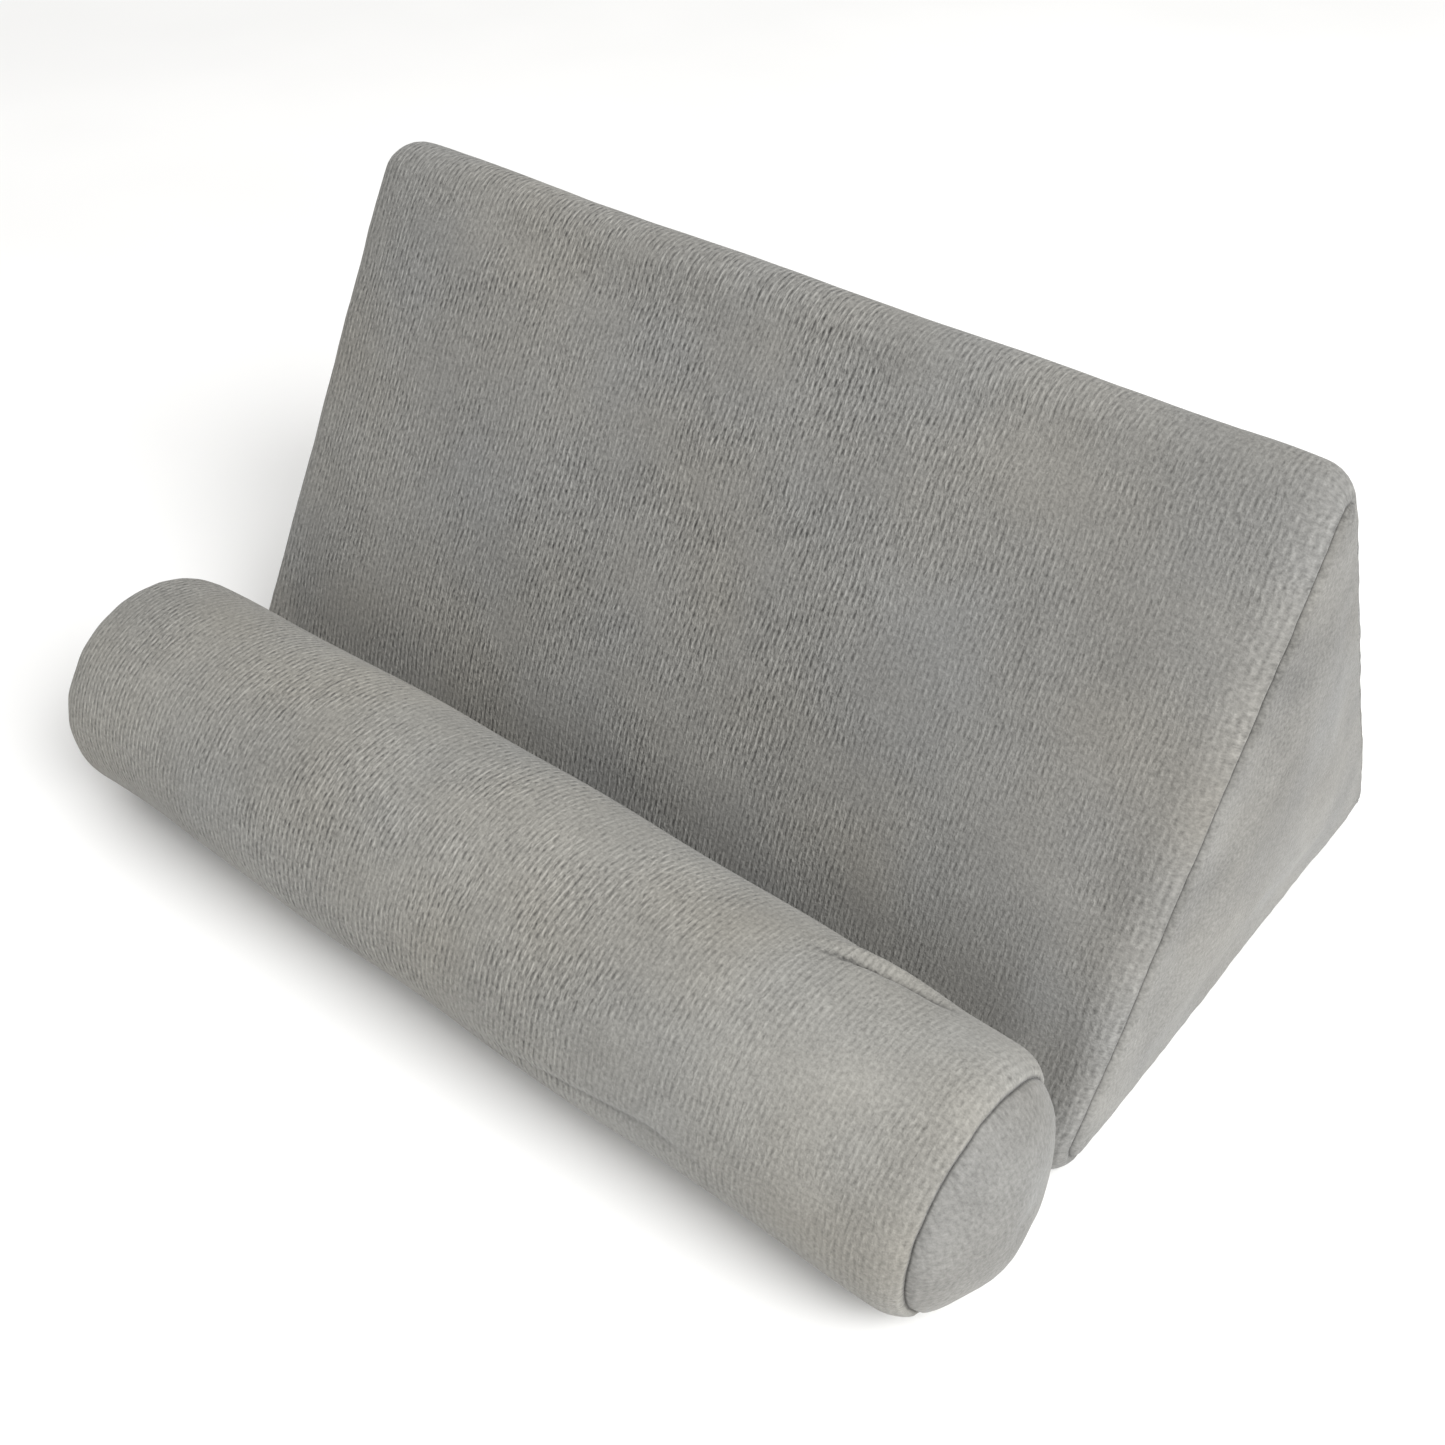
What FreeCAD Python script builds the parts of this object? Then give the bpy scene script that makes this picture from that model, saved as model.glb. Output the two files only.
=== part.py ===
import FreeCAD, Part
import math
import os

from FreeCAD import Vector, Rotation, Placement

# Pillow stand for a tablet: a foam wedge and a foam roll, each in a sewn cloth cover, joined by a
# strip of the same cloth.  Millimetres, +X to the reader's right, -Y towards the reader, +Z up.
# The origin is the middle of the whole stand's footprint, on the table.

# ---- wedge -------------------------------------------------------------------------------------
wedge_width = 280.0          # along X, outside the cloth
wedge_side = 177.5           # each side of the triangle, measured to its sharp corners
wedge_corner = 60.0          # degrees: all three corners are alike
edge_radius = 8.3            # every edge of the filled cover is rounded this much
cloth = 1.8                  # thickness of the pile cloth
foam_ease = 0.3              # room between the cloth and the foam
end_seam_inset = 4.5         # end panels wrap this far round onto the sides

# ---- roll --------------------------------------------------------------------------------------
roll_radius = 31.7           # at mid length
roll_overhang = 4.65         # each domed end reaches this far beyond the wedge's end
roll_taper = 1.6             # how much smaller the radius is where the shoulders begin
roll_shoulder = 8.0          # length of the rounded shoulder, before the end seam
roll_shoulder_drop = 3.4     # how far the shoulder comes in
roll_dome = 9.0              # how far the end disc bulges beyond its seam
groove = 5.6                 # gap between the roll and the slope, where the tablet's edge stands

# ---- cloth strip that joins them ---------------------------------------------------------------
strip_inset = 2.0            # the strip stops this far short of the wedge's ends
strip_thickness = 3.0        # two layers of cloth
strip_reach = 8.0            # its fold line, behind the wedge's sharp front corner
strip_bevel = 2.0            # its rear edge leans away from the wedge by this much
strip_root = 4.0             # depth of the part sewn under the wedge
strip_lift = 0.4             # the sewn part clears the table by this much
seam_gap = 0.3               # clearance between pieces that move past each other

# ---- zip, low on the back slope ----------------------------------------------------------------
zip_height = 21.0            # along the back slope, from the sharp rear corner to the zip's middle
zip_slot = 7.2               # width of the opening between the two cloth edges
tape_width = 6.2
tape_thickness = 0.5
tape_sink = 0.1              # the tape's outer face lies this far below the cloth's inner face
coil_width = 1.65
coil_height = 1.4
chain_gap = 0.7              # gap between the two coils, in which the slider's post runs
channel_width = 16.0         # the foam gives way behind the zip, this wide ...
channel_room = 0.8           # ... and this much deeper than the slider

# ---- slider and pull ---------------------------------------------------------------------------
slider_length = 8.4          # along the zip
slider_end_gap = 9.7         # from the zip's closed end to the slider's middle
plate_thickness = 0.8
slider_play = 0.2            # clearance all round the coils and the tape
flange = 0.8                 # thickness of the slider's side walls
post_length = 2.0
post_width = 0.4
arch_inner = 1.3             # radius inside the loop that holds the pull
arch_wall = 0.8
arch_width = 1.4
bar_radius = 0.5             # the pull's end bar, which turns in the loop
bar_height = 0.65            # of the bar's middle, above the slider's top plate
pull_length = 16.0
pull_width = 4.8
eye_width = 2.6
eye_length = 3.2

# ---- care label --------------------------------------------------------------------------------
label_width = 24.0
label_length = 34.0
label_thickness = 0.4
label_height = 62.0          # along the back slope, to the label's middle
label_gap = 0.1


# ---- places worked out from the sizes above ----------------------------------------------------
slope = math.radians(wedge_corner)
wedge_height = wedge_side * math.sin(slope)
round_reach = edge_radius / math.tan(slope / 2)      # sharp corner to where the rounding ends
round_inset = round_reach - edge_radius              # sharp corner to the rounding's foremost point
roll_y = (roll_radius * math.cos(slope) - roll_radius - groove) / math.sin(slope)
front_y = roll_y - roll_radius
rear_y = wedge_side - round_inset
middle_y = (front_y + rear_y) / 2
zip_out = Vector(0, math.sin(slope), math.cos(slope))
zip_up = Vector(0, -math.cos(slope), math.sin(slope))
half_seam_x = wedge_width / 2 - end_seam_inset
half_zip_x = wedge_width / 2 - edge_radius           # the zip stops where the ends begin to round
slider_start = slider_end_gap - half_zip_x
tape_depth = cloth + tape_sink
channel_depth = tape_depth + tape_thickness + slider_play + plate_thickness + channel_room
roll_length = wedge_width + 2 * roll_overhang
strip_half = wedge_width / 2 - strip_inset
big = 4 * wedge_width


def solid_of(shape):
    """The one solid in a shape, cleaned of edges that no longer mean anything."""
    whole = shape.removeSplitter()
    if len(whole.Solids) != 1:
        raise ValueError("expected one solid, got %d" % len(whole.Solids))
    return whole.Solids[0]


def box(x0, x1, y0, y1, z0, z1):
    return Part.makeBox(x1 - x0, y1 - y0, z1 - z0, Vector(x0, y0, z0))


def prism(points, x0, x1):
    """A closed outline of (y, z) points, drawn out along X."""
    corners = [Vector(x0, y, z) for y, z in points]
    face = Part.Face(Part.makePolygon(corners + corners[:1]))
    return face.extrude(Vector(x1 - x0, 0, 0))


def rounded_wedge(inset):
    """The filled wedge, with every face moved in by inset.  The roundings keep their centres."""
    side = wedge_side - 2 * inset / math.tan(slope / 2)
    lead = inset / math.tan(slope / 2)
    points = [(lead, inset), (lead + side, inset), (lead + side / 2, inset + side * math.sin(slope))]
    half = wedge_width / 2 - inset
    raw = prism(points, -half, half)
    return raw.makeFillet(edge_radius - inset, raw.Edges)


def on_back(x, up, out):
    """A point given along the zip, up the back slope and out of it."""
    return Vector(x, wedge_side, 0) + zip_up * up + zip_out * out


def back_box(x0, x1, up0, up1, out0, out1):
    """A box square to the back slope."""
    raw = Part.makeBox(up1 - up0, x1 - x0, out1 - out0, Vector(up0, x0, out0))
    raw.Placement = Placement(Vector(0, wedge_side, 0), Rotation(zip_up, Vector(1, 0, 0), zip_out, "XYZ"))
    return raw


def roll_body(inset):
    """The filled roll, with its surface moved in by inset: barrel, shoulders and domed ends."""
    seam_x = roll_length / 2 - roll_dome
    barrel_x = seam_x - roll_shoulder
    tip_x = roll_length / 2 - inset
    middle = roll_radius - inset
    barrel = middle - roll_taper
    seam = barrel - roll_shoulder_drop
    shoulder_mid = (barrel_x + roll_shoulder * 0.62, barrel - roll_shoulder_drop * 0.33)
    dome = tip_x - seam_x
    sphere = (seam ** 2 + dome ** 2) / (2 * dome)
    half_turn = math.asin(seam / sphere) / 2
    dome_mid = (tip_x - sphere + sphere * math.cos(half_turn), sphere * math.sin(half_turn))
    right = [(barrel_x, barrel), shoulder_mid, (seam_x, seam), dome_mid, (tip_x, 0.0)]
    left = [(-x, radius) for x, radius in right]
    at = [Vector(x, 0, radius) for x, radius in left[::-1]] + [Vector(x, 0, radius) for x, radius in right]
    edges = [
        Part.Arc(at[0], at[1], at[2]).toShape(),
        Part.Arc(at[2], at[3], at[4]).toShape(),
        Part.Arc(at[4], Vector(0, 0, middle), at[5]).toShape(),
        Part.Arc(at[5], at[6], at[7]).toShape(),
        Part.Arc(at[7], at[8], at[9]).toShape(),
        Part.makeLine(at[9], at[0]),
    ]
    body = Part.Face(Part.Wire(edges)).revolve(Vector(0, 0, 0), Vector(1, 0, 0), 360)
    body.translate(Vector(0, roll_y, roll_radius))
    return Part.Solid(body.Solids[0])


# ---- wedge: foam and cover ---------------------------------------------------------------------
def wedge_foam():
    channel = back_box(-big, big, zip_height - channel_width / 2, zip_height + channel_width / 2,
                       -channel_depth, cloth)
    return rounded_wedge(cloth + foam_ease).cut(channel)


def cover_shell():
    return rounded_wedge(0).cut(rounded_wedge(cloth))


def cover_end(sign):
    inner, outer = sorted((sign * half_seam_x, sign * big))
    return cover_shell().common(box(inner, outer, -big, big, -big, big))


def base_region():
    """Everything below the front seam, the base itself and the turn up to the zip's lower edge."""
    centre = (wedge_side / 2, wedge_height / 3)
    lower_lip = zip_height - zip_slot / 2
    inside = on_back(0, lower_lip, -edge_radius)
    outside = on_back(0, lower_lip, edge_radius * 2)
    front = (-centre[0], -centre[1])
    points = [front, centre, (inside.y, inside.z), (outside.y, outside.z)]
    points += [(big, outside.z), (big, -big), (-big, -big)]
    return prism(points, -big, big)


def cover_sleeve():
    return cover_shell().common(box(-half_seam_x, half_seam_x, -big, big, -big, big))


def cover_base():
    return cover_sleeve().common(base_region())


def cover_wrap():
    slot = back_box(-half_zip_x, half_zip_x, zip_height - zip_slot / 2, zip_height + zip_slot / 2,
                    -cloth * 3, cloth)
    return cover_sleeve().cut(base_region()).cut(slot)


def zip_tape(sign):
    edges = sorted((zip_height + sign * chain_gap / 2, zip_height + sign * (chain_gap / 2 + tape_width)))
    return back_box(-half_zip_x, half_zip_x, edges[0], edges[1], -tape_depth - tape_thickness, -tape_depth)


def zip_coil(sign):
    """One side's coil, its outer corner rounded as the wound teeth are."""
    edges = sorted((zip_height + sign * chain_gap / 2, zip_height + sign * (chain_gap / 2 + coil_width)))
    bar = back_box(-half_zip_x, half_zip_x, edges[0], edges[1], -tape_depth, -tape_depth + coil_height)
    top = on_back(0, 0, -tape_depth + coil_height)
    crest = [edge for edge in bar.Edges if abs((edge.CenterOfMass - top).dot(zip_out)) < 0.01
             and edge.Length > wedge_width / 2]
    return bar.makeFillet(coil_width * 0.4, crest)


def care_label():
    low = label_height - label_width / 2
    outer_x = -wedge_width / 2 - label_gap
    return back_box(outer_x - label_thickness, outer_x, low, low + label_width,
                    -edge_radius - label_length, -edge_radius)


# ---- slider and pull, built about the zip's middle line -----------------------------------------
coil_top = -tape_depth + coil_height
plate_low = coil_top + slider_play
plate_top = plate_low + plate_thickness
slider_half = chain_gap / 2 + coil_width + slider_play + flange
bar_out = plate_top + bar_height


def slider_box(x0, x1, half_width, out0, out1):
    return back_box(slider_start + x0, slider_start + x1, zip_height - half_width, zip_height + half_width,
                    out0, out1)


def across_cylinder(radius, width, out):
    """A round bar that lies across the zip, in line with the slope."""
    start = on_back(slider_start, zip_height - width / 2, out)
    return Part.makeCylinder(radius, width, start, zip_up)


def zip_slider():
    half = slider_length / 2
    inner = slider_half - flange
    tape_top = -tape_depth + slider_play
    tape_low = -tape_depth - tape_thickness - slider_play
    top = slider_box(-half, half, slider_half, tape_top, plate_top)
    top = top.cut(slider_box(-big, big, inner, -big, plate_low))
    bottom = slider_box(-half, half, slider_half, tape_low - plate_thickness, tape_low)
    post = slider_box(half - post_length, half, post_width / 2, tape_low, plate_low)
    arch = across_cylinder(arch_inner + arch_wall, arch_width, plate_top)
    arch = arch.cut(across_cylinder(arch_inner, arch_width * 2, plate_top))
    arch = arch.common(slider_box(-half, half, slider_half, plate_top, big))
    return top.fuse(post).fuse(bottom).fuse(arch)


def zip_pull():
    plate = slider_box(0, pull_length, pull_width / 2, bar_out - bar_radius, bar_out + bar_radius)
    corners = [edge for edge in plate.Edges
               if abs(edge.CenterOfMass.x - slider_start - pull_length) < 0.01
               and edge.Length < bar_radius * 2 + 0.01]
    plate = plate.makeFillet(pull_width * 0.3, corners)
    eye = slider_box(-big, eye_length, eye_width / 2, -big, big)
    bar = across_cylinder(bar_radius, pull_width, bar_out)
    return plate.cut(eye).fuse(bar)


# ---- roll and the strip that joins it to the wedge ----------------------------------------------
def roll_seam_x():
    return roll_length / 2 - roll_dome


def roll_shell():
    return roll_body(0).cut(roll_body(cloth))


def roll_foam():
    return roll_body(cloth + foam_ease)


def roll_wrap():
    return roll_shell().common(box(-roll_seam_x(), roll_seam_x(), -big, big, -big, big))


def roll_cap(sign):
    inner, outer = sorted((sign * roll_seam_x(), sign * big))
    return roll_shell().common(box(inner, outer, -big, big, -big, big))


def hinge_strip():
    """Flat on the table from its fold line to the roll, whose underside it is sewn to."""
    rear = strip_reach - seam_gap
    points = [(roll_y, 0), (rear, 0), (rear - strip_bevel, strip_thickness), (roll_y, strip_thickness)]
    touching = math.sqrt(roll_radius ** 2 - (roll_radius - strip_thickness / 3) ** 2)
    blunt = box(-big, big, -big, roll_y + touching, -big, big)
    around = Part.makeCylinder(roll_radius, big, Vector(-big / 2, roll_y, roll_radius), Vector(1, 0, 0))
    return prism(points, -strip_half, strip_half).cut(around).cut(blunt)


def strip_seam():
    """The strip's sewn edge, tucked under the wedge's rounded front corner."""
    front = strip_reach + seam_gap
    tuck = box(-strip_half, strip_half, front, front + strip_root, strip_lift, strip_thickness)
    return tuck.cut(rounded_wedge(0))


pieces = {
    "wedge_foam": wedge_foam(),
    "cover_wrap": cover_wrap(),
    "cover_base": cover_base(),
    "cover_end_left": cover_end(-1),
    "cover_end_right": cover_end(1),
    "strip_seam": strip_seam(),
    "zip_tape_upper": zip_tape(1),
    "zip_tape_lower": zip_tape(-1),
    "zip_coil_upper": zip_coil(1),
    "zip_coil_lower": zip_coil(-1),
    "care_label": care_label(),
    "zip_slider": zip_slider(),
    "zip_pull": zip_pull(),
    "roll_foam": roll_foam(),
    "roll_wrap": roll_wrap(),
    "roll_cap_left": roll_cap(-1),
    "roll_cap_right": roll_cap(1),
    "hinge_strip": hinge_strip(),
}

os.makedirs("parts", exist_ok=True)
for name, shape in pieces.items():
    solid = solid_of(shape)
    solid.translate(Vector(0, -middle_y, 0))
    if not solid.isValid():
        raise ValueError(name + " is not a valid solid")
    solid.exportStep(os.path.join("parts", name + ".step"))
    size = solid.BoundBox
    print("%-16s %9.1f mm3   x %7.1f %7.1f   y %7.1f %7.1f   z %6.1f %6.1f"
          % (name, solid.Volume, size.XMin, size.XMax, size.YMin, size.YMax, size.ZMin, size.ZMax))

fold = Vector(0, strip_reach - middle_y, 0)
turn = on_back(slider_start, zip_height, bar_out) - Vector(0, middle_y, 0)
print("fold line of the strip: y %.2f z %.2f" % (fold.y, fold.z))
print("pull turns about: x %.2f y %.2f z %.2f, along %.4f %.4f" % (turn.x, turn.y, turn.z, zip_up.y, zip_up.z))
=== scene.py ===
# %% [markdown]
# # A cushioned tablet stand, modelled around its frame
#
# The real thing is two pieces of foam, a three-cornered wedge and a roll, each sewn into a cover of short
# grey pile cloth, with a cloth strip between them. The frame already holds every piece at its right size
# and place. Here each soft piece is made again as cloth: filled out, pulled in at its seams and given a pile.
# All lengths are in metres.

# %% Load the frame
import math

import bmesh
import bpy
import numpy as np
from mathutils import Matrix, Vector, noise
from mathutils.bvhtree import BVHTree
from mathutils.kdtree import KDTree


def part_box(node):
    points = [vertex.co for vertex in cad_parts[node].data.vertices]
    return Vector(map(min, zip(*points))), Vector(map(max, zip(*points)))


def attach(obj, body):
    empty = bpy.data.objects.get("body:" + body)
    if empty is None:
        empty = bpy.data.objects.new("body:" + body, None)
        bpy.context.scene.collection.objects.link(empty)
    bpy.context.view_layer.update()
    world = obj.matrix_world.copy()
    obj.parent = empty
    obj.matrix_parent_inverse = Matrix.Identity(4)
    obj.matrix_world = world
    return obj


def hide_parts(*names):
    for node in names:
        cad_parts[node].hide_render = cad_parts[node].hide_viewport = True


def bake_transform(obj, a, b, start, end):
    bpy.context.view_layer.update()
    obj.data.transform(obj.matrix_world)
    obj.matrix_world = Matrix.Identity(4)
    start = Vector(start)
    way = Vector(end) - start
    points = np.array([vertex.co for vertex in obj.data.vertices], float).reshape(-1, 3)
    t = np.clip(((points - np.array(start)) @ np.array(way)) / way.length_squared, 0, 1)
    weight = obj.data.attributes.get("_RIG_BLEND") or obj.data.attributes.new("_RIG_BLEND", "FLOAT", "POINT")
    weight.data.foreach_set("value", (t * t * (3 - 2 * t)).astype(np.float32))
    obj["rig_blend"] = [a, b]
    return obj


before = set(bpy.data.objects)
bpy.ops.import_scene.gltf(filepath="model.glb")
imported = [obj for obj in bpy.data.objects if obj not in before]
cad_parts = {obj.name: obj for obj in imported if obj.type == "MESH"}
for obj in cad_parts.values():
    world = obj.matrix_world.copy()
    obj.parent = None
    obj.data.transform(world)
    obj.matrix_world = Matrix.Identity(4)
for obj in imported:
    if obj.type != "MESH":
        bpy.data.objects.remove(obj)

bpy.context.view_layer.update()
scene = bpy.context.scene
MM = 0.001

# %% [markdown]
# ## Sizes
#
# Most sizes can be read from the frame's own boxes, so that nothing drifts away from it. The rounding of the
# wedge's edges is one of the few that can't. From it and the top edge's height the three-cornered outline
# follows: a rounded corner of 60 degrees stands one radius short of the sharp one.

# %% Sizes of the wedge and the roll
EDGE = 8.3 * MM
CORNER = math.radians(60)

wrap_low, wrap_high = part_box("cover_wrap")
roll_low, roll_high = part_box("roll_wrap")

wedge_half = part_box("cover_end_right")[1].x
wedge_peak = wrap_high.z + EDGE
wedge_side = wedge_peak / math.sin(CORNER)
corner_inset = EDGE * (1 / math.tan(CORNER / 2) - 1)
heart = Vector((0, wrap_low.y - corner_inset + wedge_side / 2, wedge_peak / 3))
corner_reach = 2 * wedge_peak / 3 - 2 * EDGE
flat_length = wedge_side - 2 * EDGE / math.tan(CORNER / 2)

roll_radius = (roll_high.z - roll_low.z) / 2
roll_heart = Vector((0, (roll_low.y + roll_high.y) / 2, (roll_low.z + roll_high.z) / 2))
roll_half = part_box("roll_cap_right")[1].x
roll_seam_x = roll_high.x
print("wedge side %.1f mm, roll radius %.2f mm" % (wedge_side / MM, roll_radius / MM))

# %% [markdown]
# ## Camera
#
# The camera comes first, because every later choice is judged through it. It looks down on the right front
# corner. A camera is easiest to think of as a turn, a tilt and a distance from the point it looks at.

# %% Camera
VIEW_TURN = math.radians(39.13)
VIEW_TILT = math.radians(39.80)
VIEW_DISTANCE = 0.4385
LOOK_AT = Vector((0.0171, -0.0186, 0.0509))
LENS = 43.93

camera_data = bpy.data.cameras.new("camera")
camera_data.lens = LENS
camera_data.sensor_width = 36
camera_data.clip_start = 0.01
camera = bpy.data.objects.new("camera", camera_data)
scene.collection.objects.link(camera)
way_back = Vector((math.sin(VIEW_TURN) * math.cos(VIEW_TILT),
                   -math.cos(VIEW_TURN) * math.cos(VIEW_TILT),
                   math.sin(VIEW_TILT)))
camera.location = LOOK_AT + way_back * VIEW_DISTANCE
camera.rotation_euler = (-way_back).to_track_quat("-Z", "Y").to_euler()
scene.camera = camera

# %% [markdown]
# ## Helpers for materials
#
# A node tree is a list of nodes and links. One helper makes a node and fills or links its sockets. A Value is
# a number that changes over the surface: a sum written with it becomes Math nodes, so that each finish below
# reads as a short recipe.

# %% Node helpers


def feed(tree, socket, value):
    """Links value to the socket if it is a Value or another socket, and otherwise sets it."""
    value = getattr(value, "socket", value)
    if isinstance(value, bpy.types.NodeSocket):
        tree.links.new(value, socket)
    else:
        socket.default_value = value


def node(tree, kind, inputs=None, **settings):
    made = tree.nodes.new(kind)
    for name, value in settings.items():
        setattr(made, name, value)
    for name, value in (inputs or {}).items():
        feed(tree, made.inputs[name], value)
    return made


class Value:
    """A number that changes over the surface. Sums written with it become Math nodes."""

    def __init__(self, tree, socket):
        self.tree = tree
        self.socket = socket

    def math(self, operation, *others):
        inputs = dict(enumerate((self, *others)))
        return Value(self.tree, node(self.tree, "ShaderNodeMath", inputs, operation=operation).outputs[0])

    def __add__(self, other):
        return self.math("ADD", other)

    def __sub__(self, other):
        return self.math("SUBTRACT", other)

    def __mul__(self, other):
        return self.math("MULTIPLY", other)

    def __truediv__(self, other):
        return self.math("DIVIDE", other)

    def ramp(self, low, high, to_low=0.0, to_high=1.0):
        """low..high is brought smoothly to to_low..to_high, and held there beyond."""
        made = node(self.tree, "ShaderNodeMapRange", {"Value": self, "From Min": low, "From Max": high,
                                                      "To Min": to_low, "To Max": to_high},
                    interpolation_type="SMOOTHSTEP")
        return Value(self.tree, made.outputs["Result"])


def noise_of(tree, vector, scale, detail=2.0, roughness=0.5):
    made = node(tree, "ShaderNodeTexNoise", {"Vector": vector, "Scale": scale, "Detail": detail,
                                             "Roughness": roughness})
    return Value(tree, made.outputs["Fac"])


def parts_of(tree, vector):
    """The first two parts of a vector, as Values."""
    made = node(tree, "ShaderNodeSeparateXYZ", {"Vector": vector})
    return Value(tree, made.outputs["X"]), Value(tree, made.outputs["Y"])


def vector_of(tree, operation, first, second):
    """A Vector Math node's result. SCALE takes a number as its second."""
    second_socket = "Scale" if operation == "SCALE" else 1
    made = node(tree, "ShaderNodeVectorMath", {0: first, second_socket: second}, operation=operation)
    return made.outputs["Value" if operation == "DOT_PRODUCT" else "Vector"]


def new_group(name, inputs, outputs):
    """A node group. inputs is {name: (socket kind, default)} and outputs {name: socket kind}."""
    tree = bpy.data.node_groups.new(name, "ShaderNodeTree")
    for label, (kind, default) in inputs.items():
        socket = tree.interface.new_socket(label, in_out="INPUT", socket_type=kind)
        if default is not None:
            socket.default_value = default
    for label, kind in outputs.items():
        tree.interface.new_socket(label, in_out="OUTPUT", socket_type=kind)
    return tree, tree.nodes.new("NodeGroupInput").outputs, tree.nodes.new("NodeGroupOutput").inputs


def new_material(name, constants):
    """A material, its node tree and its shader, with the shader's constants set."""
    material = bpy.data.materials.new(name)
    material.use_nodes = True
    shader = material.node_tree.nodes["Principled BSDF"]
    for label, value in constants.items():
        shader.inputs[label].default_value = value
    return material, material.node_tree, shader


def bump(tree, shader, height, strength=1.0):
    """Tilts the shader's normal as a height in metres would."""
    made = node(tree, "ShaderNodeBump", {"Height": height, "Strength": strength, "Distance": 1.0})
    feed(tree, shader.inputs["Normal"], made.outputs["Normal"])


FLOAT = "NodeSocketFloat"
VECTOR = "NodeSocketVector"
COLOUR = "NodeSocketColor"
FULL_TURN = 2 * math.pi

# %% [markdown]
# ## Floor and light
#
# A pale floor, a white surround and one large lamp at the right front. Pile cloth shows its shape best in
# broad soft light: a small hard lamp would make every fibre glitter and the folds too black. The surround is
# brightest overhead and dimmer towards the horizon, as in a room, which lets the undersides go darker. Where
# the surround itself is seen, past the floor's edge, it is plain and pale. The view transform is the plain
# one, so that a grey in the cloth stays that grey.

# %% Floor and light
FLOOR_SIZE = 8.0
LAMP_WAY = Vector((0.78, -0.20, 0.80)).normalized()
LAMP_DISTANCE = 1.5
LAMP_SIZE = 0.9
LAMP_POWER = 21.0
SKY_TINT = (1.0, 0.995, 0.985, 1)
SKY_LOW = 0.30
SKY_HIGH = 0.92

scene.view_settings.view_transform = "Standard"


def object_from(bm, name):
    """Makes a smooth-shaded object of a finished bmesh and puts it in the scene."""
    mesh = bpy.data.meshes.new(name)
    bm.to_mesh(mesh)
    bm.free()
    mesh.shade_smooth()
    made = bpy.data.objects.new(name, mesh)
    scene.collection.objects.link(made)
    return made


bm = bmesh.new()
bmesh.ops.create_grid(bm, x_segments=2, y_segments=2, size=FLOOR_SIZE / 2)
floor = object_from(bm, "floor")

lamp_data = bpy.data.lights.new("lamp", "AREA")
lamp_data.size = LAMP_SIZE
lamp_data.energy = LAMP_POWER
lamp = bpy.data.objects.new("lamp", lamp_data)
lamp.location = LAMP_WAY * LAMP_DISTANCE
lamp.rotation_euler = (-LAMP_WAY).to_track_quat("-Z", "Y").to_euler()
scene.collection.objects.link(lamp)

world = bpy.data.worlds.new("surround")
world.use_nodes = True
sky = world.node_tree
shine = sky.nodes["Background"].inputs
shine["Color"].default_value = SKY_TINT
sky_way = node(sky, "ShaderNodeTexCoord").outputs["Generated"]
sky_height = Value(sky, node(sky, "ShaderNodeSeparateXYZ", {"Vector": sky_way}).outputs["Z"])
seen = node(sky, "ShaderNodeLightPath").outputs["Is Camera Ray"]
feed(sky, shine["Strength"], sky_height.ramp(-0.05, 0.85, SKY_LOW, SKY_HIGH).math("MAXIMUM", seen))
scene.world = world

# %% [markdown]
# ## The pile
#
# The cloth is a short knitted pile. Three things show at this size. Fine ribs run along the cloth, 1.6 mm
# apart, and each is broken into dashes where the fibres lean together. Over those lies a fuzz of single
# fibres. Then whole patches look lighter or darker, where a hand has brushed the pile one way or the other.
# Beside a seam the fibres are dragged towards the thread, in short strokes.
#
# It could be made of real hairs, but they are lost when the model is exported. Noise in the cloth's own
# coordinates follows the surface round every edge and stays with it. Each piece of cloth carries UV maps for
# this, in metres: "cloth" (across the ribs, along them) and "seam" (along the seam, away from it). The roll
# also has "fold" (across the nearest fold, and how deep that fold is, which sets the strength of its painted
# shade).

# %% Pile node group
RIB_PITCH = 1.6 * MM
RIB_SWAY = 1.9 * MM
DASH_LENGTH = 2.4 * MM
RUBBED_FROM = 15 * MM
RUBBED_TO = 115 * MM
STROKE_REACH = 6.2 * MM
FOLD_CREST = 3.0 * MM
RIB_TONE, FUZZ_TONE, PATCH_TONE, STROKE_TONE = 0.82, 1.15, 0.34, 0.60
RIB_HEIGHT, FUZZ_HEIGHT, STROKE_HEIGHT = 0.28 * MM, 0.26 * MM, 0.35 * MM
WARMER = (0.09, 0.0, -0.16)


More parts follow.
